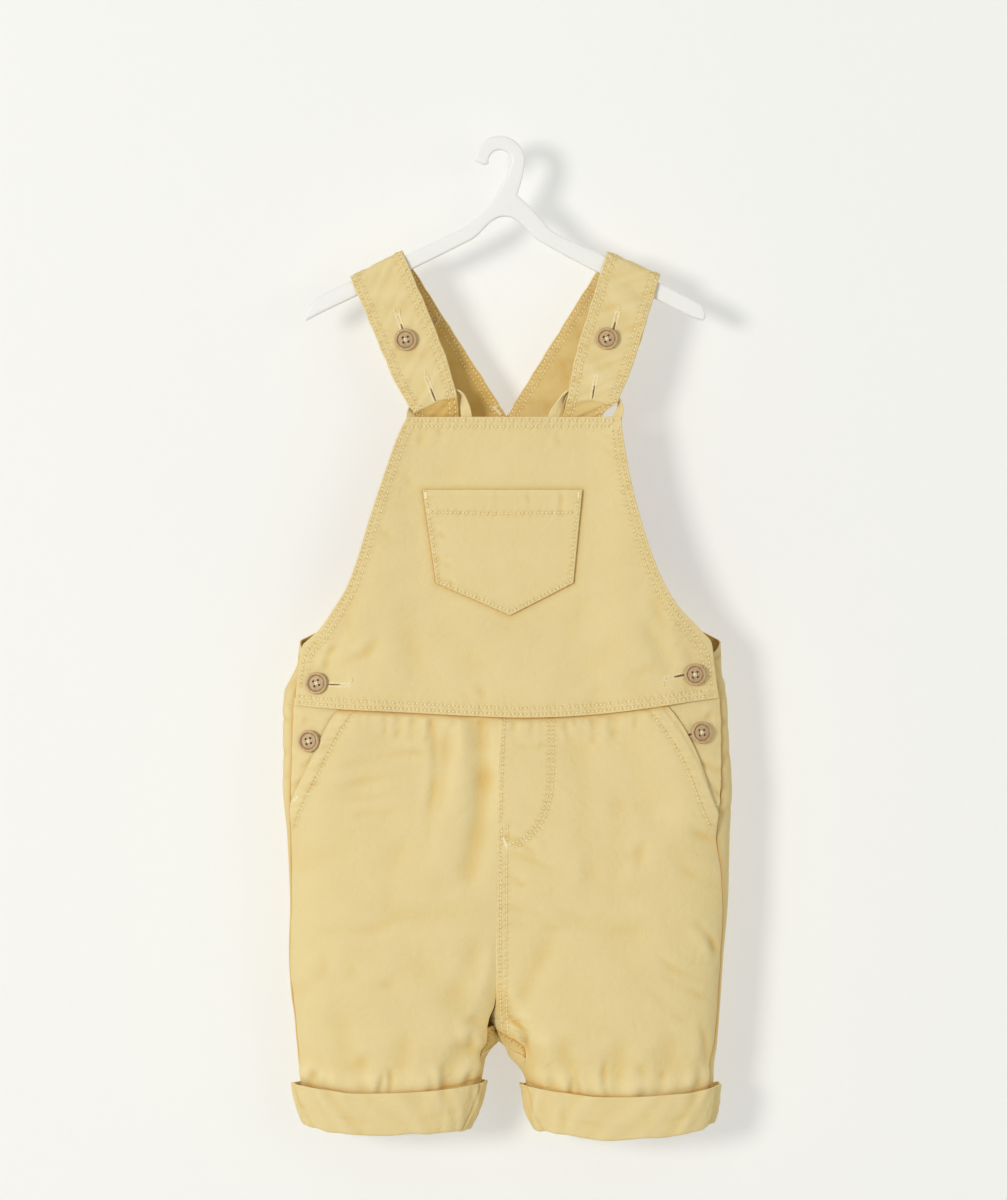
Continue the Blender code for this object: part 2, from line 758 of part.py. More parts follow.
def back_bodice():
    heights = [WAIST_Z + SEAM_GAP / 2, -348.0, -336.0]
    heights += [UNDERARM_Z, UNDERARM_Z + 4.5, UNDERARM_Z + 9.0]
    heights += [ARMHOLE_Z, -302.0, -290.0, -275.0, BODICE_TOP_Z]
    outer, inner = [], []
    for z in heights:
        over, under = [], []
        for side in (-1, 1):
            middle = -turn_at(side, z, along(CENTRE, z, "x"))
            turns = arc(side, z, bodice_turn(side, z), middle, BODICE_COLUMNS)
            points = []
            for turn in turns:
                base = form_point(side, z, turn)
                normal = form_normal(side, z, turn)
                share = smooth_step((WAIST_Z + 40.0 - z) / 40.0)
                height = z + (waist_z(base.x) - WAIST_Z) * share
                stands = back_lift(side, base.x, height)
                place = Vector((base.x, base.y, height))
                points.append((place + normal * stands, place + normal * (stands - CLOTH)))
            if side > 0:
                points = points[::-1][1:]
            over += [p for p, _ in points]
            under += [q for _, q in points]
        outer.append(over)
        inner.append(under)
    return wall("back_bodice", outer, inner)


# ---------------------------------------------------------------- cuffs


def cuff(name, side):
    """A turned-up hem: a wall outside the leg that turns under its foot and ends inside it."""
    rings = []
    for k in range(CUFF_COLUMNS):
        turn = -math.pi + 2 * math.pi * k / CUFF_COLUMNS
        rings.append(cuff_section(side, turn))
    mesh = bmesh.new()
    verts = [[mesh.verts.new(p) for p in ring] for ring in rings]
    width = len(verts[0])
    for a, b in zip(verts, verts[1:] + verts[:1]):
        for i in range(width):
            j = (i + 1) % width
            mesh.faces.new((a[i], a[j], b[j], b[i]))
    return finish(name, mesh, TWILL)


def cuff_section(side, turn):
    """The cuff's cut at one place round the leg, as points out from the leg's face."""
    cos = math.cos(turn)
    foot_level = HEM_Z
    probe = form_point(side, foot_level, turn)
    across = min(1.0, max(0.0, cuff_across(side, probe.x)))
    top = along(cuff_table(side), across, "top", key="across")
    foot = along(cuff_table(side), across, "foot", key="across")
    flare = CUFF_FLARE_INNER + (CUFF_FLARE_OUTER - CUFF_FLARE_INNER) * smooth_step(0.5 + 0.5 * cos)

    def place(out, z):
        level = min(z, HEM_Z + 34.0)
        base = form_point(side, level, turn)
        normal = form_normal(side, level, turn)
        flat = Vector((normal.x, normal.y, 0.0)).normalized()
        return Vector((base.x, base.y, z)) + flat * out

    near_top = CUFF_LOOSE + flare
    near_foot = CUFF_LOOSE + CUFF_FLARE_FOOT
    middle = (top + foot) / 2
    return [
        place(near_top + CLOTH, top),
        place((near_top + near_foot) / 2 + CLOTH, middle),
        place(near_foot + CLOTH, foot + 2.0),
        place(near_foot + CLOTH * 0.4, foot + 0.3),
        place(-CLOTH * 0.5, foot),
        place(-CLOTH, foot + 0.8),
        place(-CLOTH, foot + CUFF_TURN),
        place(0.0, foot + CUFF_TURN),
        place(0.0, foot + CLOTH + 0.2),
        place(near_foot, foot + CLOTH + 0.8),
        place((near_top + near_foot) / 2, middle),
        place(near_top, top),
    ]


# ---------------------------------------------------------------- straps and loops

# A strap's course, from its buttoned end up behind itself, round the cloth loop, up the front,
# over the hanger's arm and down the back to the bodice. "tilt" is the slope of its width in the
# front view, in degrees, and "wide" its width there.
StrapRow = namedtuple("StrapRow", "x y z tilt wide")
RIGHT_STRAP = [
    StrapRow(-63.8, -6.3, -105.0, 23.0, STRAP_WIDE),
    StrapRow(-57.2, -6.3, -121.0, 23.0, STRAP_WIDE),
    StrapRow(-50.0, -6.0, -138.0, 23.0, 35.0),
    StrapRow(-42.5, -4.4, -152.0, 20.0, 26.5),
    StrapRow(-39.5, -3.5, -161.6, 12.0, 24.4),
    StrapRow(-38.2, -3.6, -168.0, 6.0, 24.0),
    StrapRow(-38.0, -5.3, -170.4, 4.0, 24.0),
    StrapRow(-38.1, -7.1, -168.6, 4.0, 24.4),
    StrapRow(-39.0, -9.6, -164.0, 10.0, 26.4),
    StrapRow(-40.8, -11.6, -160.4, 18.0, 29.5),
    StrapRow(-43.2, -12.0, -155.0, 22.0, 31.5),
    StrapRow(-49.5, -11.2, -140.0, 22.5, 35.5),
    StrapRow(-57.2, -9.6, -121.0, 23.0, STRAP_WIDE),
    StrapRow(-65.5, -8.2, -101.0, 24.0, STRAP_WIDE),
    StrapRow(-73.0, -5.9, -83.5, 25.5, STRAP_WIDE),
    StrapRow(-76.3, -5.1, -76.0, 26.3, STRAP_WIDE),
    StrapRow(-77.4, -3.5, -73.4, 26.5, STRAP_WIDE),
    StrapRow(-77.5, 0.0, -72.4, 26.5, STRAP_WIDE),
    StrapRow(-77.0, 3.5, -73.4, 27.0, STRAP_WIDE),
    StrapRow(-75.5, 5.1, -76.0, 28.0, STRAP_WIDE),
    StrapRow(-70.4, 5.6, -84.0, 30.0, STRAP_WIDE),
    StrapRow(-47.0, 7.6, -121.0, 32.5, STRAP_WIDE),
    StrapRow(-19.5, 9.8, -164.0, 32.5, STRAP_WIDE),
    StrapRow(2.5, 11.0, -198.5, 32.5, STRAP_WIDE),
    StrapRow(21.0, 12.2, -227.5, 32.5, STRAP_WIDE),
    StrapRow(38.0, 12.8, -254.2, 12.0, 39.2),
    StrapRow(46.9, 13.2, -268.2, 0.0, 43.4),
]
LEFT_STRAP = [
    StrapRow(74.0, -6.3, -106.0, -17.0, STRAP_WIDE),
    StrapRow(69.0, -6.3, -121.0, -17.0, STRAP_WIDE),
    StrapRow(63.6, -6.0, -138.0, -15.0, 35.5),
    StrapRow(57.6, -4.4, -151.0, -9.0, 28.5),
    StrapRow(53.0, -3.5, -161.6, -4.0, 25.4),
    StrapRow(51.4, -3.6, -168.0, 0.0, 25.0),
    StrapRow(51.0, -5.3, -170.4, 0.0, 25.0),
    StrapRow(51.3, -7.1, -168.6, 0.0, 25.2),
    StrapRow(54.0, -9.6, -163.6, -1.0, 26.6),
    StrapRow(58.0, -11.6, -158.2, -4.0, 31.6),
    StrapRow(59.6, -12.0, -152.5, -8.0, 32.6),
    StrapRow(63.6, -11.2, -139.0, -14.5, 35.5),
    StrapRow(69.0, -9.6, -121.0, -17.0, STRAP_WIDE),
    StrapRow(75.2, -8.2, -101.0, -18.5, STRAP_WIDE),
    StrapRow(80.6, -5.9, -83.5, -21.5, STRAP_WIDE),
    StrapRow(83.0, -5.1, -75.5, -23.0, STRAP_WIDE),
    StrapRow(83.9, -3.5, -72.9, -24.0, STRAP_WIDE),
    StrapRow(84.1, 0.0, -71.8, -24.5, STRAP_WIDE),
    StrapRow(83.9, 3.5, -72.9, -25.0, STRAP_WIDE),
    StrapRow(82.6, 5.1, -75.5, -26.5, STRAP_WIDE),
    StrapRow(77.8, 5.8, -83.5, -29.0, STRAP_WIDE),
    StrapRow(55.0, 9.0, -120.0, -32.0, STRAP_WIDE),
    StrapRow(27.5, 12.2, -164.0, -32.0, STRAP_WIDE),
    StrapRow(6.0, 13.8, -198.5, -32.0, STRAP_WIDE),
    StrapRow(-12.0, 14.6, -227.5, -32.0, STRAP_WIDE),
    StrapRow(-28.7, 14.9, -254.2, -12.0, 39.0),
    StrapRow(-37.4, 15.0, -268.2, 0.0, 43.2),
]

# A cloth loop's course over the bib's upper edge; "turn" swings its width from across the front
# (0) to fore and aft (90 degrees).
LoopRow = namedtuple("LoopRow", "x y z turn wide thick")
RIGHT_LOOP = [
    LoopRow(-20.8, -7.3, -175.0, 0.0, 7.0, 1.2),
    LoopRow(-21.2, -7.4, -167.0, 5.0, 7.0, 1.2),
    LoopRow(-22.4, -8.0, -160.0, 30.0, 6.0, 1.4),
    LoopRow(-24.2, -8.6, -154.2, 65.0, 4.6, 1.6),
    LoopRow(-28.4, -8.6, -151.8, 88.0, 3.8, 1.6),
    LoopRow(-36.0, -8.6, -153.8, 90.0, 3.8, 1.6),
    LoopRow(-44.0, -8.6, -156.4, 90.0, 3.8, 1.6),
    LoopRow(-51.0, -8.6, -158.6, 90.0, 3.8, 1.6),
    LoopRow(-55.8, -8.2, -161.8, 70.0, 4.0, 1.5),
    LoopRow(-56.4, -7.8, -166.0, 25.0, 5.0, 1.3),
    LoopRow(-55.6, -7.4, -170.0, 5.0, 6.5, 1.2),
    LoopRow(-55.0, -7.3, -176.0, 0.0, 7.0, 1.2),
]
LEFT_LOOP = [
    LoopRow(33.2, -7.3, -175.0, 0.0, 7.0, 1.2),
    LoopRow(34.0, -7.4, -167.6, -5.0, 7.0, 1.2),
    LoopRow(37.0, -8.0, -161.0, -30.0, 5.6, 1.4),
    LoopRow(40.2, -8.6, -155.0, -65.0, 4.4, 1.6),
    LoopRow(44.8, -8.6, -151.2, -88.0, 3.8, 1.6),
    LoopRow(52.0, -8.6, -151.6, -90.0, 3.8, 1.6),
    LoopRow(60.0, -8.6, -152.8, -90.0, 3.8, 1.6),
    LoopRow(68.0, -8.6, -154.2, -90.0, 3.8, 1.6),
    LoopRow(74.4, -8.4, -157.0, -80.0, 4.2, 1.5),
    LoopRow(75.4, -7.8, -163.4, -35.0, 5.0, 1.3),
    LoopRow(73.4, -7.4, -170.0, -8.0, 6.5, 1.2),
    LoopRow(72.6, -7.3, -176.0, 0.0, 7.0, 1.2),
]


def smooth_row(rows, place):
    """A row between two of a course, on a smooth curve. place counts rows."""
    i = min(int(place), len(rows) - 2)
    t = place - i
    before, a, b, after = (rows[max(i - 1, 0)], rows[i], rows[i + 1], rows[min(i + 2, len(rows) - 1)])
    values = []
    for p, q, r, s in zip(before, a, b, after):
        values.append(
            0.5 * (2 * q + (r - p) * t + (2 * p - 5 * q + 4 * r - s) * t**2)
            + 0.5 * (3 * q - p - 3 * r + s) * t**3
        )
    return type(a)(*values)


def ribbon(name, stations):
    """A closed band through stations of (centre, half width, half thickness) vectors."""
    mesh = bmesh.new()
    rings = []
    for centre, wide, thick in stations:
        corners = [centre + wide + thick, centre - wide + thick]
        corners += [centre - wide - thick, centre + wide - thick]
        rings.append([mesh.verts.new(p) for p in corners])
    for a, b in zip(rings, rings[1:]):
        for i in range(4):
            j = (i + 1) % 4
            mesh.faces.new((a[i], a[j], b[j], b[i]))
    mesh.faces.new(rings[0][::-1])
    mesh.faces.new(rings[-1])
    return finish(name, mesh, TWILL)


def course(rows):
    """Places along a course, each as its row, its centre and the direction it runs in."""
    count = (len(rows) - 1) * COURSE_STEPS
    found = [smooth_row(rows, k / COURSE_STEPS) for k in range(count + 1)]
    centres = [Vector((row.x, row.y, row.z)) for row in found]
    runs = [
        (centres[min(k + 1, count)] - centres[max(k - 1, 0)]).normalized() for k in range(count + 1)
    ]
    return zip(found, centres, runs)


def strap(name, rows):
    stations = []
    for row, centre, run in course(rows):
        tilt = math.radians(row.tilt)
        wide = Vector((math.cos(tilt), 0.0, math.sin(tilt)))
        thick = run.cross(wide).normalized()
        stations.append((centre, wide * row.wide / 2, thick * STRAP_CLOTH / 2))
    return ribbon(name, stations)


def strap_loop(name, rows):
    stations = []
    for row, centre, run in course(rows):
        turn = math.radians(row.turn)
        across = run.cross(Vector((0.0, 1.0, 0.0))).normalized()
        wide = across * math.cos(turn) + Vector((0.0, 1.0, 0.0)) * math.sin(turn)
        wide = (wide - run * wide.dot(run)).normalized()
        thick = run.cross(wide).normalized()
        stations.append((centre, wide * row.wide / 2, thick * row.thick / 2))
    return ribbon(name, stations)


# ---------------------------------------------------------------- buttons


def button(name, place, normal, spin):
    """A four-hole button with a raised rim; place is the middle of its back."""
    profile = [
        (5.8, 0.0),
        (BUTTON_RADIUS, 1.2),
        (6.5, BUTTON_THICK),
        (5.7, BUTTON_THICK),
        (4.9, 1.8),
    ]
    mesh = bmesh.new()
    rings = []
    for radius, height in profile:
        ring = []
        for k in range(BUTTON_SIDES):
            angle = 2 * math.pi * k / BUTTON_SIDES
            spot = (radius * math.cos(angle), radius * math.sin(angle), height)
            ring.append(mesh.verts.new(spot))
        rings.append(ring)
    for a, b in zip(rings, rings[1:]):
        for k in range(BUTTON_SIDES):
            n = (k + 1) % BUTTON_SIDES
            mesh.faces.new((a[k], a[n], b[n], b[k]))
    mesh.faces.new(rings[0][::-1])
    mesh.faces.new(rings[-1])
    obj = finish(name, mesh, WOOD)
    for k in range(4):
        angle = math.pi / 4 + k * math.pi / 2
        bpy.ops.mesh.primitive_cylinder_add(
            vertices=5,
            radius=BUTTON_HOLE_RADIUS * MM,
            depth=4 * BUTTON_THICK * MM,
            location=(
                BUTTON_HOLE_SPACING * math.cos(angle) * MM,
                BUTTON_HOLE_SPACING * math.sin(angle) * MM,
                0,
            ),
        )
        cutter = bpy.context.object
        cutter.name = f"{name}_hole_{k + 1}"
        cutter.hide_render = True
        cutter.display_type = "WIRE"
        cutter.parent = obj
        cut = obj.modifiers.new(f"hole_{k + 1}", "BOOLEAN")
        cut.operation = "DIFFERENCE"
        cut.object = cutter
    facing = Vector(normal).normalized()
    spun = Quaternion((0, 0, 1), math.radians(spin))
    obj.rotation_mode = "QUATERNION"
    obj.rotation_quaternion = facing.to_track_quat("Z", "Y") @ spun
    obj.location = Vector(place) * MM
    return obj


def button_on_front(name, side, x, z, lift, spin, lean):
    """A button on cloth of this lift; lean turns it further to the side, in degrees."""
    stands = lift + BUTTON_OFF + BUTTON_RADIUS * math.sin(math.radians(lean)) * 0.9
    turn = raised_turn(side, z, x, stands)
    base = form_point(side, z, turn)
    normal = form_normal(side, z, turn)
    facing = normal.copy()
    angle = math.radians(lean) * side
    facing.x, facing.y = (
        normal.x * math.cos(angle) - normal.y * math.sin(angle),
        normal.x * math.sin(angle) + normal.y * math.cos(angle),
    )
    return button(name, base + normal * stands, facing, spin)


# ---------------------------------------------------------------- hanger

# Edges of the hanger's board, from the hook's neck outwards
EdgeRow = namedtuple("EdgeRow", "x z")
HOOK_CENTRE = EdgeRow(0.0, -HOOK_SEAT_RADIUS)
RIGHT_ARM_TOP = [
    EdgeRow(-4.6, -32.0),
    EdgeRow(-10.0, -39.0),
    EdgeRow(-19.0, -47.0),
    EdgeRow(-35.6, -55.4),
    EdgeRow(-60.0, -66.8),
    EdgeRow(-94.5, -83.0),
    EdgeRow(-112.0, -91.6),
    EdgeRow(-118.6, -97.0),
    EdgeRow(-123.6, -106.4),
]
RIGHT_ARM_FOOT = [
    EdgeRow(-121.8, -107.6),
    EdgeRow(-112.0, -102.4),
    EdgeRow(-90.0, -91.8),
    EdgeRow(-55.5, -75.2),
    EdgeRow(-22.5, -58.9),
    EdgeRow(-14.5, -54.0),
    EdgeRow(-5.0, -44.8),
]
LEFT_ARM_FOOT = [
    EdgeRow(2.8, -42.0),
    EdgeRow(10.6, -44.4),
    EdgeRow(20.2, -53.5),
    EdgeRow(28.0, -59.3),
    EdgeRow(59.7, -76.2),
    EdgeRow(98.0, -94.0),
    EdgeRow(118.0, -104.0),
    EdgeRow(127.6, -107.6),
]
LEFT_ARM_TOP = [
    EdgeRow(129.4, -106.0),
    EdgeRow(128.6, -101.0),
    EdgeRow(124.6, -96.4),
    EdgeRow(101.0, -84.2),
    EdgeRow(67.4, -67.5),
    EdgeRow(49.1, -59.3),
    EdgeRow(33.7, -51.6),
    EdgeRow(26.0, -43.8),
    EdgeRow(18.3, -35.2),
    EdgeRow(10.8, -28.6),
]


def circle_point(radius, degrees):
    angle = math.radians(degrees)
    return (
        HOOK_CENTRE.x + radius * math.cos(angle),
        HOOK_CENTRE.z + radius * math.sin(angle),
    )


def hanger_outline():
    """The board's edge, once round: down the right arm, back along both feet, up the left arm
    and round the hook."""
    points = [(row.x, row.z) for row in RIGHT_ARM_TOP + RIGHT_ARM_FOOT]
    points += [(row.x, row.z) for row in LEFT_ARM_FOOT + LEFT_ARM_TOP]
    points += [(14.4, -17.0)]
    points += [circle_point(HOOK_RADIUS, a) for a in range(-10, 171, 15)]
    points += [(-16.0, -6.8)]
    points += [(-9.6, -9.6)]
    points += [circle_point(HOOK_SEAT_RADIUS, a) for a in range(190, -31, -15)]
    points += [(5.0, -15.0), (1.0, -23.0)]
    return points


def hanger():
    mesh = bmesh.new()
    half = HANGER_THICK / 2
    verts = [mesh.verts.new((x, -half, z)) for x, z in hanger_outline()]
    face = mesh.faces.new(verts)
    made = bmesh.ops.extrude_face_region(mesh, geom=[face])
    moved = [v for v in made["geom"] if isinstance(v, bmesh.types.BMVert)]
    bmesh.ops.translate(mesh, vec=(0, HANGER_THICK, 0), verts=moved)
    rims = [e for e in mesh.edges if abs(e.verts[0].co.y - e.verts[1].co.y) < 0.01]
    bmesh.ops.bevel(mesh, geom=rims, offset=HANGER_BEVEL, segments=1, affect="EDGES")
    return finish("hanger", mesh, PLASTIC)


# ---------------------------------------------------------------- the whole part


def main():
    clear_scene()
    hanger()
    strap("strap_right", RIGHT_STRAP)
    strap("strap_left", LEFT_STRAP)
    strap_loop("strap_loop_right", RIGHT_LOOP)
    strap_loop("strap_loop_left", LEFT_LOOP)
    bib()
    bib_pocket()
    back_bodice()
    for side, word in ((-1, "right"), (1, "left")):
        front_leg(f"front_leg_{word}", side)
        back_leg(f"back_leg_{word}", side)
        pocket_facing(f"pocket_facing_{word}", side)
        cuff(f"cuff_{word}", side)
    button("button_strap_right", (-59.2, -11.4, -120.1), (0, -1, -0.05), 10)
    button("button_strap_left", (67.1, -11.4, -119.4), (0, -1, -0.05), 20)
    for spot in BIB_BUTTONS:
        lift = bib_lift(spot.x, spot.z)
        button_on_front(spot.name, spot.side, spot.x, spot.z, lift, spot.spin, 0.0)
    for spot in HIP_BUTTONS:
        lift = facing_lift(spot.side, spot.x, spot.z)
        button_on_front(spot.name, spot.side, spot.x, spot.z, lift, spot.spin, HIP_LEAN)


main()
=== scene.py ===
"""Looks of a child's short dungarees of washed cotton twill, hung on a flat white hanger.

Sizes are in millimetres, in the part's own frame: +Z up, the front facing -Y, the origin at the
crown of the hanger's hook. "Right" and "left" are the wearer's, so the right leg lies at -X. The
cloth pieces are thin shells on the same body form as the solids that they stand for.
"""

import functools
import math
import random
from collections import namedtuple

import bmesh
import bpy
import numpy as np
from bpy.props import FloatProperty, FloatVectorProperty, PointerProperty
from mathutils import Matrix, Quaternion, Vector
from mathutils.bvhtree import BVHTree


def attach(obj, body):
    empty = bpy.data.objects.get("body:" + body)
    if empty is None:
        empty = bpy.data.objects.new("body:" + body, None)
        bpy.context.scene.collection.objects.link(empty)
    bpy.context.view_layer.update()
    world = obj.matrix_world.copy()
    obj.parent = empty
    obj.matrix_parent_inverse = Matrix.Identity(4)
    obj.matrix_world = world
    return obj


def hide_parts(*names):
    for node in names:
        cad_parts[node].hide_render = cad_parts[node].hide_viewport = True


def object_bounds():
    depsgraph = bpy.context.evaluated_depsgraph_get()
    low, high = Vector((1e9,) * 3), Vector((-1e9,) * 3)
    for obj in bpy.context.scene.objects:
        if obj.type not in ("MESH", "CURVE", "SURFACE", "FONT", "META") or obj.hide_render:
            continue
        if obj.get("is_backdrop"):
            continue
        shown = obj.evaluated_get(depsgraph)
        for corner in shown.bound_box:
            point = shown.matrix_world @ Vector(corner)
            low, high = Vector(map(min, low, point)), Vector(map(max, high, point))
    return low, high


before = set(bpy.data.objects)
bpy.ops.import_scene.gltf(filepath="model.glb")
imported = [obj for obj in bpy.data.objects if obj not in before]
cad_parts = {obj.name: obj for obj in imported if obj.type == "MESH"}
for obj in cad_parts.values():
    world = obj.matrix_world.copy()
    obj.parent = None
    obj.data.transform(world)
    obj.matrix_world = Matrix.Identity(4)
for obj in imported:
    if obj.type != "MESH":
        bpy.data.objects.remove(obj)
SOLID_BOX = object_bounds()

bl_info = {
    "name": "Child's dungarees",
    "version": (1, 0, 0),
    "blender": (4, 5, 0),
    "location": "View3D > Sidebar > Dungarees",
    "description": "Builds the cloth, thread, buttons and hanger of a pair of short dungarees",
    "category": "Add Mesh",
}

MM = 0.001
SIDES = ((-1, "right"), (1, "left"))

# ------ the garment's sizes

CLOTH = 1.2
STRAP_CLOTH = 1.8
SEAM_GAP = 0.45
LAYER = CLOTH + SEAM_GAP
ROUNDNESS = 2.6
# Distances from an edge, and from a stitch row, at which neither shows any more
CLEAR, NO_SEAM = 20.0, 50.0
SEAM_BULK = 0.7
SEAM_CLOSED = 0.1

WAIST_Z = -357.0
BIB_TOP_Z = -168.5
BODICE_TOP_Z = -259.0
ARMHOLE_Z = -309.0
UNDERARM_Z = -322.0
OPENING_END_Z = -408.0
OPENING_FADE = 40.0
FACING_FOOT_Z = -424.0
CROTCH_Z = -567.0
FRONT_CROTCH_Z = -556.0
SEAM_OVERLAP = 0.45
HEM_Z = -619.0
TUCK = 5.0
UNDERLAP = 9.0
POCKET_UNDERLAP = 10.0


def table(columns, *rows):
    """Rows with named columns."""
    Row = namedtuple("Row", columns)
    return tuple(Row(*row) for row in rows)


# Side outline of the body, its depth before and behind the middle, and how far the two leg lobes
# have parted at the centre seams.
BODY = table(
    "z left right front back parted",
    (-150, -128, 138, 8.6, 16, 0), (-200, -128, 138, 10.2, 17, 0), (-250, -127, 138, 12.8, 18.2, 0),
    (-290, -126, 138, 15.5, 19.2, 0), (-314, -126.6, 139.2, 17.5, 19.8, 0),
    (-333, -131, 140, 18.5, 20.2, 0), (-346, -135.5, 141.8, 19, 20.6, 0), (-358, -136.7, 143, 19.5, 21, 0),
    (-384, -136.7, 144.3, 21, 22.5, 0.08), (-409, -136.7, 146.2, 22.5, 24, 0.18),
    (-434, -134.2, 144.9, 23.5, 25, 0.28), (-472, -132.3, 143.6, 24.5, 26, 0.44),
    (-510, -132.9, 140.5, 24.5, 26, 0.66), (-535, -131.6, 139.2, 24, 25.5, 0.82),
    (-553, -129.5, 138.2, 23, 25, 0.93), (-567, -128.5, 137.2, 22.5, 24.5, 1),
    (-575, -127.8, 136.5, 21.5, 23.5, 1), (-586, -127, 135, 20, 22, 1), (-600, -125.5, 134.5, 18, 20, 1),
    (-619, -121.5, 132.5, 16.5, 18, 1),
)

# Inner side of each leg below the crotch
INNER = table(
    "z right_leg left_leg",
    (-567, -0.8, -0.4), (-571, -4.8, 3.4), (-577, -8.6, 5.8), (-585, -10.3, 12.8), (-592, -11.6, 16),
    (-605, -15.6, 18.2), (-619, -22, 24.6),
)

# Centre seam, front and back
CENTRE = table(
    "z x",
    (-150, 3), (-330, 2), (-358, 0.6), (-428, -1.6), (-535, -2.2), (-567, -0.6), (-619, -0.6),
)

# Inner edges of the front legs: the foot of the front's centre seam, then the inseams
FRONT_EDGE = table(
    "z right_leg left_leg",
    (-520, -2.2, -2.2), (-541, -3.1, -3.1), (-550, -6.4, -6.4), (-556, -7.2, -7.2), (-560, -7, 0.2),
    (-564.5, -7.6, 8.6), (-567.6, -8.2, 13.8), (-573, -12, 16), (-584, -12.4, 15.8), (-592, -14.4, 19.4),
    (-605, -19.4, 22), (-619, -25.8, 28.4),
)
# Height below the crotch in which the back leg's edge comes round to meet the front's
EDGES_MEET = 10.0

# How far the side seam, and the side edge above it, lies in from the outline, on the front
SIDE_SEAM = table(
    "z right_side left_side",
    (-314, 2.5, 6.3), (-330, 5, 6), (-346, 7, 5.1), (-376, 6.3, 4.8), (-408, 5.3, 7.4), (-434, 2.8, 9),
    (-455, 1.6, 5.4), (-495, 1, 2.4), (-535, 1, 1.8), (-570, 1, 2), (-586, 1, 3.5), (-619, 1.5, 3.5),
)

# Waist seam, seen from the front
WAIST = table(
    "x z",
    (-140, -348.8), (-98, -352.3), (-64, -353.8), (0, -357), (31, -357), (62, -355.1), (94, -351.3),
    (119, -347.5), (145, -344.4),
)

# Bib outline
BIB = table(
    "z left right",
    (-168.5, -58.6, 75.9), (-182, -64.9, 77.5), (-207, -73.7, 81.9), (-232, -81.9, 88.2),
    (-257.5, -89.5, 96.4), (-276, -96.4, 104.5), (-289, -103.9, 112.2), (-302, -111.8, 122.5),
    (-310, -118.4, 128.5), (-316, -124, 132.6), (-331, -126.4, 134.4), (-357, -128.8, 137.4),
)

# Slanted pocket mouths in the front legs
MOUTH = table(
    "z right_side left_side",
    (-340, -91, 94.5), (-352, -98.3, 101.6), (-369, -109.2, 113.6), (-386, -117.4, 122.8),
    (-400, -124.6, 128.3), (-411, -129.9, 132.4), (-422, -134, 137.4), (-440, -140, 146),
)

# Back bodice edge from the armhole corner up to the strap
ARMHOLE = table(
    "z left right",
    (-309, -126.5, 139), (-301.5, -112, 125), (-291, -98, 111.5), (-275, -78.5, 89), (-259, -60.5, 69.5),
)

POCKET_LEFT, POCKET_RIGHT = -48.5, 51.7
POCKET_FOOT_LEFT, POCKET_FOOT_RIGHT = -40.0, 46.0
POCKET_TOP_Z, POCKET_CORNER_Z, POCKET_TIP_Z = -214.5, -273.0, -293.3
POCKET_TIP = 0.54
POCKET_HEM = 14.0

# Turned-up cuffs: the upper edge and the foot of each, across the leg
RIGHT_CUFF = table(
    "across top foot",
    (0, -587, -611), (0.1, -589, -615.5), (0.3, -592.4, -618.5), (0.6, -592, -618.7),
    (0.85, -588.5, -617.2), (1, -584, -616.8),
)
LEFT_CUFF = table(
    "across top foot",
    (0, -587.5, -611.5), (0.1, -591.5, -617), (0.35, -594.6, -621), (0.6, -594.6, -622),
    (0.85, -590.5, -618), (1, -586.5, -617),
)
CUFF_FLARE_OUTER, CUFF_FLARE_INNER, CUFF_FLARE_FOOT = 2.6, 0.5, 0.5
CUFF_TURN = 4.6
CUFF_LOOSE = 0.7
CUFF_TALL = 27.0
# Upright folds in the cuffs: the turn round the leg at the foot, how far they lean, and their depth
CUFF_FOLDS = (
    (2.66, 0.1, 0.9), (2.2, -0.12, 0.3), (1.35, 0.1, 0.25), (0.35, -0.05, 0.5), (-1, 0.1, 0.4),
    (-2.1, -0.1, 0.4),
)

# Creases pressed into the cloth, as troughs from one point to another, seen from the front;
# "deep" is inwards, so a negative one is a ridge. The large ones are in the solids too.
LARGE_FRONT = table(
    "x0 z0 x1 z1 wide deep",
    (-11, -352, -14, -440, 7, 1.6), (-30, -352, -38, -412, 6, 0.9), (48, -356, 56, -430, 9, 0.9),
    (-40, -470, -8, -425, 12, 1), (6, -548, 34, -490, 7, 1.2), (-8, -548, -60, -505, 12, 1.3),
    (-90, -585, -104, -540, 9, 1.4), (-66, -590, -58, -556, 7, 1.4), (-34, -590, -22, -556, 7, 1.6),
    (48, -590, 38, -560, 7, 1.5), (72, -592, 76, -560, 8, 1.5), (104, -590, 108, -552, 9, 1.2),
    (-112, -338, -96, -300, 5, 1.3), (-88, -345, -72, -280, 9, 1), (112, -340, 92, -292, 7, 1.1),
    (-70, -420, -78, -520, 16, 1), (70, -430, 82, -520, 16, 1),
)
LARGE_BACK = table(
    "x0 z0 x1 z1 wide deep",
    (-24, -385, -46, -470, 12, 1.6), (36, -385, 52, -480, 12, 1.5), (-86, -390, -92, -500, 13, 1.2),
    (98, -390, 96, -500, 13, 1.2), (-8, -540, -58, -500, 10, 1.5), (8, -540, 62, -498, 10, 1.5),
    (-70, -590, -64, -550, 8, 1.5), (-34, -590, -26, -556, 8, 1.5), (50, -590, 42, -556, 8, 1.5),
    (88, -590, 94, -552, 8, 1.5),
)
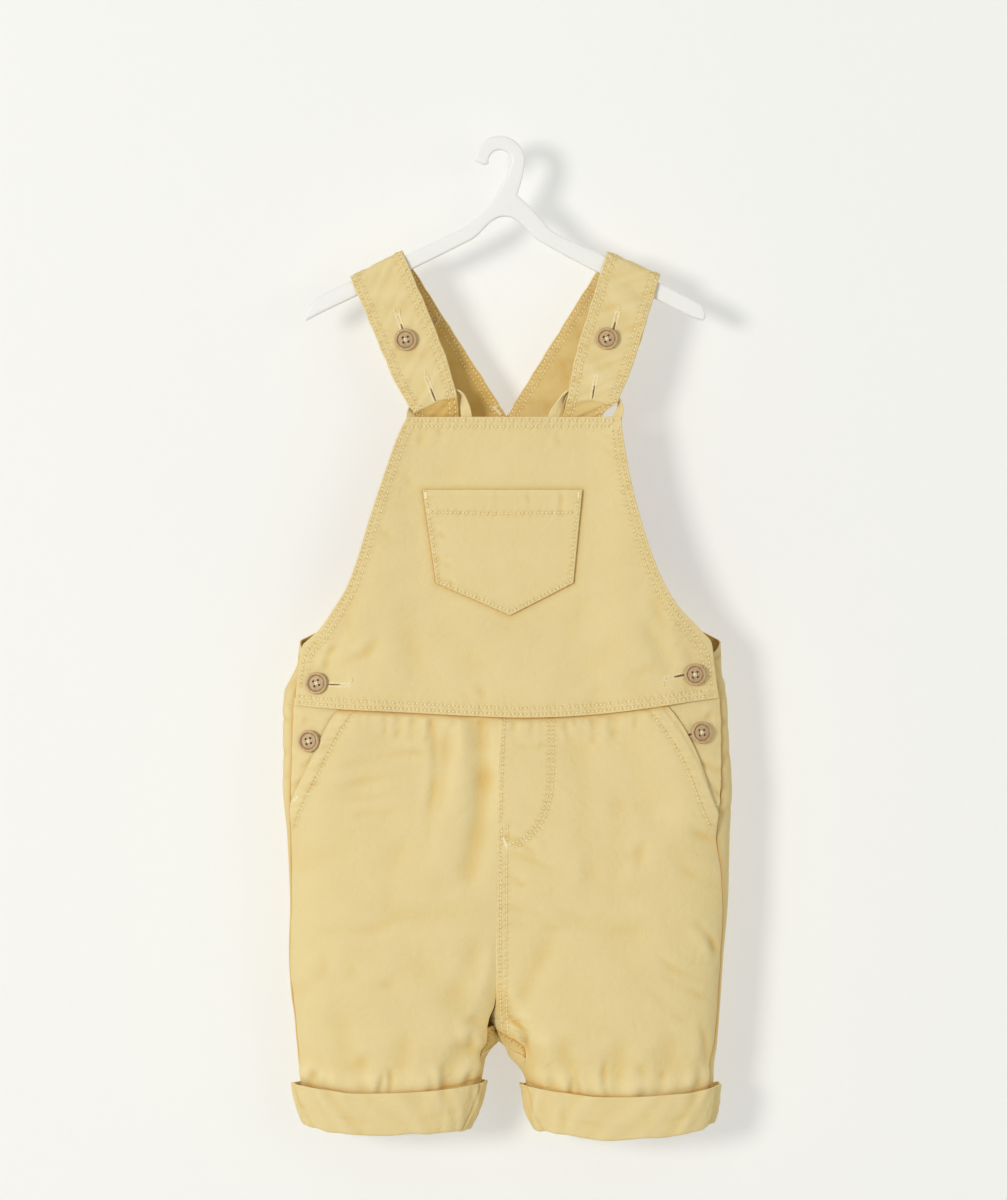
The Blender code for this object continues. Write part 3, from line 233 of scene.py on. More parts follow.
FINE_BIB = table(
    "x0 z0 x1 z1 wide deep",
    (-103.3, -313, -110.9, -325.7, 2.2, 1.1), (-99, -306, -105, -320, 3, -0.5),
    (-75.6, -308.7, -97.7, -324.5, 3.6, 0.9), (-90, -286, -99, -300, 4, 0.35),
    (-84, -312, -95, -340, 5, -0.5), (-12.6, -338, -12.6, -356, 3.4, 0.7), (63, -186, 88, -200, 3.2, 0.5),
    (66, -180, 76, -186, 2.2, 0.4), (78, -214, 90, -210, 2.6, 0.4), (97.7, -277, 107, -315, 4.5, 0.6),
    (108, -300, 122, -320, 4, 0.5), (92, -296, 104, -322, 5, 0.4), (100, -322, 84, -330, 3, 0.35),
    (-48, -178, -50, -187, 2, 0.45), (-38, -176, -38.5, -185, 2, 0.4), (36, -178, 37, -188, 2.2, 0.35),
    (-1.9, -214.5, -2.4, -228.5, 1.6, 0.2), (17.6, -214.5, 18, -228.5, 1.6, 0.25),
    (37.8, -214.5, 38.6, -230, 1.8, 0.45), (-34.7, -243.8, -43, -239, 1.7, 0.5),
    (-30.2, -261.5, -42, -258, 1.8, 0.55), (-28.4, -274.5, -40, -269, 1.9, 0.5),
    (-20, -340, -22, -352, 5, 0.35), (58, -338, 60, -352, 5, 0.35), (-66, -205, -55, -209.5, 3, 0.35),
    (-78, -240, -64, -247, 3.4, 0.35), (-30, -186, -26, -206, 12, 0.3), (-60, -320, -30, -300, 16, 0.6),
    (10, -300, -24, -322, 9, 0.4), (40, -300, 70, -320, 18, 0.6),
)
FINE_FRONT = table(
    "x0 z0 x1 z1 wide deep",
    (-8.5, -357, -11.5, -398, 7, 2), (-11.5, -394, -16.5, -462, 7.5, 1.7),
    (-25.2, -359, -30.2, -399, 5, -0.8), (-30.2, -395, -38.5, -444, 5.5, -0.7),
    (-39.7, -358, -42.2, -399, 2.6, 0.8), (-42.2, -396, -43.5, -430, 2.6, 0.5),
    (-43.5, -357.5, -44.6, -372, 2.2, 0.8), (-63.5, -356, -64.5, -369, 2.4, 0.8),
    (-71, -356, -73, -368, 2.2, 0.45), (-53.5, -357.5, -56, -370, 2.4, 0.4),
    (-30.2, -358, -31, -369, 2.2, 0.5), (8, -358.5, 8.5, -369, 2, 0.5), (20, -358.5, 21, -367, 2.2, 0.4),
    (41, -358, 43.5, -371, 2.4, 0.7), (48, -357.5, 50, -366, 2.2, 0.5), (57, -357, 60, -372, 2.8, 0.7),
    (70, -356, 73, -369, 3, 0.6), (82, -354, 85, -364, 2.4, 0.5), (-72.5, -379.3, -44, -379, 2, 0.22),
    (-97.7, -387.5, -44.1, -377, 2.6, 0.3), (-104, -403, -56.7, -390.6, 3, 0.32),
    (-94.5, -409.5, -60, -402, 2.8, 0.25), (-90, -420, -66, -413, 3.4, 0.4),
    (-112, -378, -103, -371, 1.9, 0.5), (-119, -392, -107, -384, 1.9, 0.5),
    (-123, -405, -112, -397, 2.1, 0.5), (-60, -432, -70, -470, 6, 0.5), (-12.6, -474, -82, -480, 7.5, 0.7),
    (-63, -484, -107, -492, 5, 0.6), (-107, -508, -128, -531, 5.5, 0.6), (-90, -500, -96, -520, 6, 0.5),
    (-62, -512, -71, -528, 5, 0.5), (-6.3, -502, -19.5, -550, 5, -0.9), (-14, -500, -34, -534, 6, 0.6),
    (-14, -560, -24, -566, 5, 1.2), (-7, -556, -22, -546, 5, 0.9), (12.6, -375, 28.4, -374.6, 1.8, 0.5),
    (3.2, -432, 23, -441.5, 2.2, 0.8), (3.2, -441, 38, -454, 3, 0.5), (5, -455, 17, -462, 2.2, 0.6),
    (3.2, -475.7, 30, -482.4, 2.8, 0.4), (3.2, -488, 39, -488, 3, 0.4), (37.8, -482, 90, -491.5, 6.5, 0.6),
    (82, -441, 92, -447, 7, 0.8), (70, -408, 78, -430, 6, 0.5), (50, -430, 58, -462, 6, 0.5),
    (119, -427.6, 142, -435, 3.4, 0.6), (112, -452, 138, -462, 3.6, 0.35),
    (125, -487, 136.5, -505, 2.8, 1.3), (100, -509, 126.5, -523, 2.6, 0.5),
    (104, -519, 129, -534, 2.6, 0.45), (96, -532, 118, -548, 3, 0.5), (3.2, -521, 29, -562, 5, -0.9),
    (4, -542.5, 15.4, -555.5, 1.6, 1.5), (15.4, -553.5, 18.4, -569, 1.7, 1.4),
    (8, -556, 13, -566, 2.4, 1.2), (-118.4, -578, -119.4, -592, 2.4, 1.1),
    (-112, -578, -112, -592, 2.4, -0.6), (-84, -570, -87, -592, 4.5, 0.8), (-69, -578, -68.6, -597, 2, 1),
    (-74, -579, -75, -597, 2, 0.8), (-44, -579, -43, -596, 3, 1), (-34, -575, -35.5, -594, 3.2, 1.1),
    (-17, -574, -20, -590, 2.4, 0.8), (31, -575, 33, -590, 2.4, 0.6), (44, -580, 44.6, -596, 2, 1.1),
    (48.4, -580, 49.6, -596, 2, 0.8), (66, -573, 67, -597, 2.6, 1.1), (88, -576, 90, -597, 3.6, 0.9),
    (101, -578, 102, -594, 3, 0.6), (125, -574, 123, -592, 3, 1), (126, -548, 131, -580, 2.8, 0.7),
)
FINE_BACK = table(
    "x0 z0 x1 z1 wide deep",
    (-58, -392, -66, -430, 5, 0.8), (10, -392, 16, -428, 5, 0.7), (72, -388, 78, -424, 5, 0.8),
    (-106, -400, -110, -440, 5, 0.6), (116, -400, 120, -450, 5, 0.6), (-12, -556, -44, -528, 3.4, 1.1),
    (12, -556, 44, -526, 3.4, 1.1), (-10, -520, -30, -502, 4, 0.6), (10, -518, 30, -500, 4, 0.6),
    (-104, -594, -101, -572, 3, 1), (-86, -594, -90, -576, 3, 0.8), (-52, -594, -49, -574, 3, 1),
    (70, -594, 67, -574, 3, 1), (104, -594, 108, -574, 3, 0.9), (30, -592, 27, -576, 3, 0.9),
)
# On the front of the hips, beside the buttoned openings
FINE_SIDE = table(
    "x0 z0 x1 z1 wide deep",
    (-127, -320, -135.5, -337, 2, 0.8), (-127.5, -333, -137, -343, 1.8, 0.6),
    (-128, -352, -137, -346, 1.8, 0.4), (-129, -362, -138, -357, 2, 0.6),
    (-129, -374, -138, -382, 2.4, 0.5), (-130, -396, -138, -390, 2.8, 0.3), (134, -322, 141, -334, 2, 0.7),
    (136, -345, 144, -338, 1.9, 0.6), (137, -358, 145, -364, 2, 0.6), (138, -384, 146, -376, 2.2, 0.5),
    (138, -402, 147, -394, 2.8, 0.3), (136, -420, 146, -412, 2.4, 0.8),
)
# On the pocket facings
FINE_FACING = table(
    "x0 z0 x1 z1 wide deep",
    (-104, -356, -109, -370, 2, 0.5), (-112, -380, -124, -390, 2.2, 0.6),
    (-120, -358, -128, -364, 2.4, 0.5), (-124, -396, -131, -404, 2, 0.5), (108, -356, 113, -366, 2, 0.5),
    (124, -384, 136, -392, 2.4, 0.7), (128, -358, 138, -354, 2.2, 0.6), (131, -398, 138, -408, 2, 0.6),
)
FINE_BODICE = table(
    "x0 z0 x1 z1 wide deep",
    (-70, -330, -62, -290, 6, 0.7), (-30, -338, -26, -300, 7, 0.6), (28, -338, 32, -296, 7, 0.7),
    (84, -334, 78, -292, 6, 0.7), (4, -345, 2, -318, 5, 0.5),
)

# Gathers that the elastic draws into the back of the waist
GATHER_WAVE = 23.0
GATHER_DEEP = 1.3
GATHER_BELOW, GATHER_ABOVE = 30.0, 16.0

# A strap's course, from its buttoned end up behind itself, round the cloth loop, up the front,
# over the hanger's arm and down the back to the bodice. "tilt" is the slope of its width in the
# front view, in degrees.
RIGHT_STRAP = table(
    "x y z tilt wide",
    (-63.8, -6.3, -105, 23, 36.6), (-57.2, -6.3, -121, 23, 36.6), (-50, -6, -138, 23, 35),
    (-42.5, -4.4, -152, 20, 26.5), (-41, -3.5, -161.6, 12, 27.4), (-40, -3.6, -168, 6, 27.6),
    (-39.8, -5.3, -170.4, 4, 27.6), (-39.8, -7.1, -168.6, 4, 27.8), (-40.2, -9.6, -164, 10, 28.8),
    (-40.8, -11.6, -160.4, 18, 29.5), (-43.2, -12, -155, 22, 31.5), (-49.5, -11.2, -140, 22.5, 35.5),
    (-57.2, -9.6, -121, 23, 36.6), (-65.5, -8.2, -101, 24, 36.6), (-73, -5.9, -83.5, 25.5, 36.6),
    (-76.3, -5.1, -76, 26.3, 36.6), (-77.4, -3.5, -73.4, 26.5, 36.6), (-77.5, 0, -72.4, 26.5, 36.6),
    (-77, 3.5, -73.4, 27, 36.6), (-75.5, 5.1, -76, 28, 36.6), (-70.4, 5.6, -84, 30, 36.6),
    (-47, 7.6, -121, 32.5, 36.6), (-19.5, 9.8, -164, 32.5, 36.6), (2.5, 11, -198.5, 32.5, 36.6),
    (21, 12.2, -227.5, 32.5, 36.6), (38, 12.8, -254.2, 12, 39.2), (46.9, 13.2, -268.2, 0, 43.4),
)
LEFT_STRAP = table(
    "x y z tilt wide",
    (74, -6.3, -106, -17, 36.6), (69, -6.3, -121, -17, 36.6), (63.6, -6, -138, -15, 35.5),
    (57.6, -4.4, -151, -9, 28.5), (53, -3.5, -161.6, -4, 25.4), (51.4, -3.6, -168, 0, 25),
    (51, -5.3, -170.4, 0, 25), (51.3, -7.1, -168.6, 0, 25.2), (54, -9.6, -163.6, -1, 26.6),
    (58, -11.6, -158.2, -4, 31.6), (59.6, -12, -152.5, -8, 32.6), (63.6, -11.2, -139, -14.5, 35.5),
    (69, -9.6, -121, -17, 36.6), (75.2, -8.2, -101, -18.5, 36.6), (80.6, -5.9, -83.5, -21.5, 36.6),
    (83, -5.1, -75.5, -23, 36.6), (83.9, -3.5, -72.9, -24, 36.6), (84.1, 0, -71.8, -24.5, 36.6),
    (83.9, 3.5, -72.9, -25, 36.6), (82.6, 5.1, -75.5, -26.5, 36.6), (77.8, 5.8, -83.5, -29, 36.6),
    (55, 9, -120, -32, 36.6), (27.5, 12.2, -164, -32, 36.6), (6, 13.8, -198.5, -32, 36.6),
    (-12, 14.6, -227.5, -32, 36.6), (-28.7, 14.9, -254.2, -12, 39), (-37.4, 15, -268.2, 0, 43.2),
)

# A cloth loop's course over the bib's upper edge; "turn" swings its width from across the front
# (0) to fore and aft (90 degrees).
RIGHT_LOOP = table(
    "x y z turn wide thick",
    (-20.8, -7.3, -175, 0, 7, 1.2), (-21.2, -7.4, -167, 5, 7, 1.2), (-22.4, -8, -160, 30, 6, 1.4),
    (-24.2, -8.6, -154.2, 65, 4.6, 1.6), (-28.4, -8.6, -151.8, 88, 3.8, 1.6),
    (-36, -8.6, -153.8, 90, 3.8, 1.6), (-44, -8.6, -156.4, 90, 3.8, 1.6), (-51, -8.6, -158.6, 90, 3.8, 1.6),
    (-55.8, -8.2, -161.8, 70, 4, 1.5), (-56.4, -7.8, -166, 25, 5, 1.3), (-55.6, -7.4, -170, 5, 6.5, 1.2),
    (-55, -7.3, -176, 0, 7, 1.2),
)
LEFT_LOOP = table(
    "x y z turn wide thick",
    (33.2, -7.3, -175, 0, 7, 1.2), (34, -7.4, -167.6, -5, 7, 1.2), (37, -8, -161, -30, 5.6, 1.4),
    (40.2, -8.6, -155, -65, 4.4, 1.6), (44.8, -8.6, -151.2, -88, 3.8, 1.6),
    (52, -8.6, -151.6, -90, 3.8, 1.6), (60, -8.6, -152.8, -90, 3.8, 1.6), (68, -8.6, -154.2, -90, 3.8, 1.6),
    (74.4, -8.4, -157, -80, 4.2, 1.5), (75.4, -7.8, -163.4, -35, 5, 1.3), (73.4, -7.4, -170, -8, 6.5, 1.2),
    (72.6, -7.3, -176, 0, 7, 1.2),
)

# ------ curves and the body form


def bell(value, width=1.0):
    """1 where a value is 0, falling away over a width."""
    return np.exp(-((value / width) ** 2))


def passed_along(line):
    """Distances from a line's first point to each of its points."""
    return np.concatenate([[0.0], np.cumsum(np.linalg.norm(np.diff(line, axis=0), axis=1))])


def smooth_step(value):
    value = np.clip(value, 0.0, 1.0)
    return value * value * (3.0 - 2.0 * value)


def unit(vectors):
    return vectors / np.linalg.norm(vectors, axis=-1, keepdims=True)


@functools.cache
def curve_of(rows, column, key):
    """Keys, values and slopes of a table's column, in the order of rising keys."""
    keys = np.array([getattr(row, key) for row in rows])
    values = np.array([getattr(row, column) for row in rows])
    order = np.argsort(keys)
    keys, values = keys[order], values[order]
    low = np.maximum(np.arange(len(keys)) - 1, 0)
    high = np.minimum(np.arange(len(keys)) + 1, len(keys) - 1)
    return keys, values, (values[high] - values[low]) / (keys[high] - keys[low])


def along(rows, at, column, key="z"):
    """A table's column at places along its key column, on a smooth curve through the rows."""
    keys, values, slopes = curve_of(rows, column, key)
    at = np.clip(at, keys[0], keys[-1])
    i = np.clip(np.searchsorted(keys, at, side="right") - 1, 0, len(keys) - 2)
    span = keys[i + 1] - keys[i]
    t = (at - keys[i]) / span
    return (
        values[i] * (2 * t**3 - 3 * t**2 + 1)
        + values[i + 1] * (3 * t**2 - 2 * t**3)
        + slopes[i] * span * (t**3 - 2 * t**2 + t)
        + slopes[i + 1] * span * (t**3 - t**2)
    )


def column_of(side, left_name, right_name):
    """Picks the column for the wearer's right (side -1) or left (side 1)."""
    return left_name if side < 0 else right_name


def outer_x(side, z):
    return along(BODY, z, column_of(side, "left", "right"))


def lobe(side, z):
    """Centre and half-width of one leg's outline, which runs on past the centre seam above the
    crotch."""
    outer = outer_x(side, z)
    inner = along(INNER, z, column_of(side, "right_leg", "left_leg"))
    half = np.abs(along(CENTRE, z, "x") - outer) / (1 + along(BODY, z, "parted"))
    above = np.asarray(z) > CROTCH_Z
    return (
        np.where(above, outer - side * half, (outer + inner) / 2),
        np.where(above, half, np.abs(outer - inner) / 2),
    )


def form_point(side, z, turn):
    """A point of the form. turn is 0 at the outer side, runs over the front to pi at the inner
    side, and over the back to -pi."""
    centre, half = lobe(side, z)
    power = 2 / ROUNDNESS
    cos, sin = np.cos(turn), np.sin(turn)
    depth = np.where(sin > 0, along(BODY, z, "front"), along(BODY, z, "back"))
    x = centre + side * half * np.sign(cos) * np.abs(cos) ** power
    y = -depth * np.sign(sin) * np.abs(sin) ** power
    return np.stack(np.broadcast_arrays(x, y, z), axis=-1)


def form_normal(side, z, turn):
    small, step = 0.006, 1.5
    across = form_point(side, z, turn + small) - form_point(side, z, turn - small)
    down = form_point(side, z + step, turn) - form_point(side, z - step, turn)
    return unit(np.cross(across, down)) * -side


def turn_at(side, z, x):
    """The turn, on the front, at which the form reaches x."""
    centre, half = lobe(side, z)
    share = np.clip(side * (x - centre) / half, -1.0, 1.0)
    return np.arccos(np.sign(share) * np.abs(share) ** (ROUNDNESS / 2))


def raised_turn(side, z, x, lift):
    """The turn, on the front, at which a face that stands off the form reaches x."""
    base = x
    for _ in range(8):
        normal = form_normal(side, z, turn_at(side, z, base))
        base = (base + x - normal[..., 0] * lift) / 2
    return turn_at(side, z, base)


EDGE_STEPS = (0.0, 0.2, 0.55, 1.0, 1.6, 2.3, 3.1, 4.0, 5.0, 6.1, 7.3, 8.6)


def spread(length, count):
    """Distances from 0 to length: close together near both ends and even between."""
    scale = min(1.0, length / (2.6 * EDGE_STEPS[-1]))
    steps = np.array(EDGE_STEPS) * scale
    middle = np.linspace(steps[-1], length - steps[-1], count)
    return np.concatenate([steps[:-1], middle, length - steps[-2::-1]])


def outline_lengths(side, z, turns):
    """How far round the form each turn lies from the first one of its row."""
    steps = np.linalg.norm(np.diff(form_point(side, z[:, None], turns), axis=1), axis=2)
    return np.concatenate([np.zeros((len(z), 1)), np.cumsum(steps, axis=1)], axis=1)


def arc(side, z, start, end, count):
    """Turns from start to end in each row, spread over the form's outline, and their distances
    from the start."""
    fine = start[:, None] + (end - start)[:, None] * np.linspace(0, 1, 241)
    lengths = outline_lengths(side, z, fine)
    goals = np.array([spread(row[-1], count) for row in lengths])
    return np.array([np.interp(g, l, t) for g, l, t in zip(goals, lengths, fine)]), goals


def waist_z(x):
    return along(WAIST, x, "z", key="x")


def seam_x(side, z):
    inset = along(SIDE_SEAM, z, column_of(side, "right_side", "left_side"))
    return outer_x(side, z) - side * inset


def mouth_x(side, z):
    return along(MOUTH, z, column_of(side, "right_side", "left_side"))


def shifted(side, z, turn, distance):
    """Turns that lie a distance further on towards the front of the form, one for each row."""
    steps = np.linspace(0, 1.4, 141)
    lengths = outline_lengths(side, z, turn[:, None] + steps)
    return np.array([
        t + np.interp(d, row, steps) for t, d, row in zip(turn, np.broadcast_to(distance, z.shape), lengths)
    ])


# ------ how the cloth lies


def creases(rows, x, z, swell=0.4):
    """How far all the creases of a table press the cloth in at a place. Each is a trough with a
    lower swell beside it, and is uneven in its course and depth."""
    total = np.zeros(np.broadcast(x, z).shape)
    for row in rows:
        dx, dz = row.x1 - row.x0, row.z1 - row.z0
        length = math.hypot(dx, dz)
        share = ((x - row.x0) * dx + (z - row.z0) * dz) / length**2
        off = ((x - row.x0) * dz - (z - row.z0) * dx) / length * math.copysign(1.0, -dz - 0.6 * dx)
        place = off / row.wide + swell * np.sin(4.0 * share + row.x0)
        fade = smooth_step(1.5 - np.abs(share - 0.5) * 2) * (1 + swell * np.sin(6.0 * share + row.z0))
        total += row.deep * fade * (bell(place) - swell * bell(place - 2, 1.4))
    return total


def large_creases(rows, x, z):
    """The creases that the solids have too. They die out at the waist seam."""
    return creases(rows, x, z, 0.0) * smooth_step((np.abs(waist_z(x) - z) - 6.0) / 14.0)


def ripples(place, wave, seed):
    """An uneven wave along a seam, about 1 high."""
    turn = 2 * math.pi * place / wave
    return (
        np.sin(turn + 1.7 * seed)
        + 0.6 * np.sin(turn / 0.63 + 2.9 * seed)
        + 0.5 * np.sin(turn / 1.87 + 4.1 * seed)
    ) / 1.6


def undulation(x, z, seed):
    """The slow unevenness of hung cloth, about 1 high."""
    bend = 1.4 * np.sin(z / 37.0 + seed) + 0.9 * np.sin(x / 26.0 - seed)
    return (
        np.sin(x / 17.0 + z / 29.0 + seed + bend)
        + np.sin(x / 31.0 - z / 21.0 + 2.3 * seed)
        + 0.7 * np.sin(x / 11.0 - z / 43.0 + 3.1 * seed + bend)
        + 0.45 * np.sin(x / 6.2 + z / 9.5 + 1.9 * seed - 1.5 * bend)
        + 0.35 * np.sin(z / 5.4 - x / 13.0 + 2.7 * seed + 2.0 * bend)
    ) / 2.6


def blurred(field, reach):
    """A grid's field, averaged over the neighbours within a reach, in cells."""
    for axis in (0, 1):
        ends = [(reach, reach) if k == axis else (0, 0) for k in (0, 1)]
        padded = np.pad(field, ends, "edge")
        field = np.lib.stride_tricks.sliding_window_view(padded, 2 * reach + 1, axis).mean(axis=-1)
    return field


def hollows(stands):
    """How far each place lies under its surroundings, near and wide, in millimetres."""
    return 1.3 * (blurred(stands, 3) - stands) + 0.7 * (blurred(stands, 10) - stands)


def opening(z):
    """1 beside the buttoned side opening, fading out below its end."""
    return smooth_step((z - OPENING_END_Z) / OPENING_FADE + 1.0)


def front_lift(side, x, z):
    """Lift of the front leg: it passes over the pocket facing and the buttoned underlap."""
    inset = side * (outer_x(side, z) - x)
    mouth = side * (outer_x(side, z) - mouth_x(side, np.maximum(z, OPENING_END_Z)))
    near = 1 - smooth_step((inset - mouth - POCKET_UNDERLAP - 2.0) / 30.0)
    return 2 * LAYER * opening(z) * near - large_creases(LARGE_FRONT, x, z)


def facing_lift(side, x, z):
    """Lift of the pocket facing, one layer under the front leg."""
    return front_lift(side, x, z) - LAYER


def back_lift(side, x, z):
    """Lift of the back panels, with the gathers of the elastic waist. The sides lie flat."""
    below = waist_z(x) - z
    reach = np.where(below > 0, GATHER_BELOW, GATHER_ABOVE)
    wave = np.cos(2 * math.pi * x / GATHER_WAVE + 1.3 * np.sin(x / 23.0))
    gather = GATHER_DEEP * np.exp(-np.abs(below) / reach) * wave
    inset = side * (outer_x(side, z) - x)
    return (gather - large_creases(LARGE_BACK, x, z)) * smooth_step((inset - 14.0) / 24.0)


def side_of(x, z):
    return np.where(x < along(CENTRE, z, "x"), -1, 1)


def by_side(formula, x, z):
    """A formula of (side, x, z), each place by the side that it lies on."""
    return np.where(side_of(x, z) < 0, formula(-1, x, z), formula(1, x, z))


def bib_lift(x, z):
    """The bib lies one layer out: over the front leg, and beyond its pocket mouth over the facing.
    It stands off a little more where it covers the waist seam."""
    seam = SEAM_BULK * (1 - smooth_step((z - waist_z(x)) / 22.0))
    beyond = by_side(lambda side, a, b: side * (a - mouth_x(side, WAIST_Z)), x, z)
    layer = LAYER * (1 - 0.8 * smooth_step((beyond - 3.0) / 14.0))
    return by_side(front_lift, x, z) + layer + seam


def bib_points(x, z, extra):
    """Points on the bib's outer face, or further out, and the normals there."""
    lift = bib_lift(x, z) + extra
    places, normals = [], []
    for side in (-1, 1):
        turn = raised_turn(side, z, x, lift)
        normals.append(form_normal(side, z, turn))
        places.append(form_point(side, z, turn) + normals[-1] * lift[..., None])
    right = (side_of(x, z) < 0)[..., None]
    return np.where(right, *places), np.where(right, *normals)


def cuff_edge(side, x, edge):
    """Height at x of a cuff's top or foot."""
    outer = outer_x(side, HEM_Z + 19)
    inner = along(INNER, HEM_Z + 19, column_of(side, "right_leg", "left_leg"))
    across = (x - outer) / (inner - outer)
    return along(RIGHT_CUFF if side < 0 else LEFT_CUFF, across, edge, key="across")


def leg_z(side, z, x, top, bottom):
    """A level's height at x, bent to the waist seam above and to the cuff's foot below."""
    share = (z - bottom) / (top - bottom)
    waist = (waist_z(x) - WAIST_Z) * smooth_step(share * 2.2 - 1.2)
    down = smooth_step((top - z - 120.0) / (top - bottom - 120.0))
    return z + waist + (cuff_edge(side, x, "foot") + CUFF_TURN + 2 * SEAM_GAP - bottom) * down


def front_edge(side, z):
    """Inner edge of the front panel: the centre seam above the crotch and the inseam below it."""
    edge = along(FRONT_EDGE, z, column_of(side, "right_leg", "left_leg"))
    edge = np.where(z > FRONT_EDGE[0].z, along(CENTRE, z, "x"), edge)
    return edge - side * SEAM_OVERLAP * smooth_step((z - FRONT_CROTCH_Z) / 4.0)


# ------ stitch rows

FIRST_ROW, SECOND_ROW = 2.3, 6.0
# A larger step along a row between two neighbouring places means that they follow different rows
ROW_CHANGE = 4.0


def inset_line(points, distance):
    """A line that runs a distance to the right of another, seen along it with +Z up."""
    points = np.asarray(points, float)
    run = unit(np.gradient(points, axis=0))
    line = points + np.stack([run[:, 1], -run[:, 0]], axis=1) * distance
    kept = [0]
    for k in range(1, len(line)):
        if np.dot(line[k] - line[kept[-1]], run[k]) > 0:
            kept.append(k)
    return line[kept]


def levels(top, bottom, step=6.0):
    return np.linspace(top, bottom, max(2, int(abs(top - bottom) / step) + 1))


def pairs(x, z):
    return np.stack(np.broadcast_arrays(x, z), axis=1)


def bib_rows():
    """Two rows round the bib: beside its upper edge, its armhole edges and the waist seam. The
    side rows run from the upper ones down to the waist rows."""
    rows = []
    z = levels(BIB_TOP_Z - SECOND_ROW, -350.0)
    left, right = (pairs(along(BIB, z, edge), z) for edge in ("left", "right"))
    for inset in (FIRST_ROW, SECOND_ROW):
        sides = (inset_line(left, -inset), inset_line(right, inset))
        rows += [line[line[:, 1] > waist_z(line[:, 0]) + SECOND_ROW + 0.8] for line in sides]
        rows.append(pairs(levels(BIB[0].left + FIRST_ROW, BIB[0].right - FIRST_ROW), BIB_TOP_Z - inset))
        x = levels(-125.3, 132.9)
        rows.append(pairs(x, waist_z(x) + inset))
    return rows


def pocket_foot(across):
    share = np.where(across < POCKET_TIP, across / POCKET_TIP, (1 - across) / (1 - POCKET_TIP))
    return POCKET_CORNER_Z + (POCKET_TIP_Z - POCKET_CORNER_Z) * share


def pocket_place(across, down):
    """A place on the bib pocket, from its upper left corner (0, 0) to its foot (1, 1)."""
    left = POCKET_LEFT + (POCKET_FOOT_LEFT - POCKET_LEFT) * down
    right = POCKET_RIGHT + (POCKET_FOOT_RIGHT - POCKET_RIGHT) * down
    return left + (right - left) * across, POCKET_TOP_Z + (pocket_foot(across) - POCKET_TOP_Z) * down


def pocket_outline():
    """The pocket's sewn edge, from one upper corner to the other."""
    corners = ((0.0, 0.0), (0.0, 1.0), (POCKET_TIP, 1.0), (1.0, 1.0), (1.0, 0.0), (0.0, 0.0))
    return [pocket_place(*corner) for corner in corners]


def pocket_rows():
    """One row inside the pocket's sewn edges and one along the hem of its mouth."""
    tip = pocket_place(POCKET_TIP, 1.0)
    inset = 2.0
    edge = [
        (POCKET_LEFT + inset, POCKET_TOP_Z - 1.0),
        (POCKET_FOOT_LEFT + inset, POCKET_CORNER_Z + 0.4 * inset),
        (tip[0], tip[1] + 1.25 * inset),
        (POCKET_FOOT_RIGHT - inset, POCKET_CORNER_Z + 0.4 * inset),
        (POCKET_RIGHT - inset, POCKET_TOP_Z - 1.0),
    ]
    hem = [
        (POCKET_LEFT + 2 * inset, POCKET_TOP_Z - POCKET_HEM + 0.2),
        (0.0, POCKET_TOP_Z - POCKET_HEM - 0.8),
        (POCKET_RIGHT - 2 * inset - 0.5, POCKET_TOP_Z - POCKET_HEM),
    ]
    return [edge, hem]


# The fly's curved row, from the waist seam to the centre seam
FLY = (
    (33.4, -357.5), (33.4, -394), (32.4, -406), (29, -418), (23.6, -427.5), (15.6, -435), (4, -440.6),
)


def front_rows(side):
    """Rows on a front leg: beside the slanted mouth and, on the left leg, the fly and the centre
    seam."""
    z = levels(-352.0, OPENING_END_Z - 16)
    rows = [inset_line(pairs(mouth_x(side, z), z), side * (SECOND_ROW + 0.6))]
    if side > 0:
        upper, lower = levels(WAIST_Z, -424.0), levels(-424.0, -565.0)
        rows += [np.array(FLY), inset_line(FLY, 2.6), pairs(along(CENTRE, upper, "x") + FIRST_ROW, upper)]
        rows += [pairs(along(CENTRE, lower, "x") + inset + 0.3, lower) for inset in (FIRST_ROW, SECOND_ROW)]
    return rows


def back_rows(side):
    """Rows on a back leg: under the waist seam and, on the left leg, beside the centre seam."""
    x = levels(side * 3.0, side * 118.0)
    rows = [pairs(x, waist_z(x) - drop) for drop in (FIRST_ROW, 24.0)]
    if side > 0:
        z = levels(-358.0, -564.0)
        rows += [pairs(along(CENTRE, z, "x") + inset, z) for inset in (FIRST_ROW, SECOND_ROW)]
    return rows


def bodice_rows():
    """Rows on the back bodice: along its upper edge, its armhole edges and the waist seam."""
    rows = []
    z = levels(BODICE_TOP_Z, ARMHOLE_Z + 3)
    left, right = (pairs(along(ARMHOLE, z, edge), z) for edge in ("left", "right"))
    corner = ARMHOLE[-1]
    for inset in (FIRST_ROW, SECOND_ROW):
        rows += [inset_line(left, -inset), inset_line(right, inset)]
        x = levels(corner.left + 2 * FIRST_ROW, corner.right - 2 * FIRST_ROW)
        rows.append(pairs(x, BODICE_TOP_Z - inset))
    x = levels(-118.0, 126.0)
    rows.append(pairs(x, waist_z(x) + FIRST_ROW))
    return rows


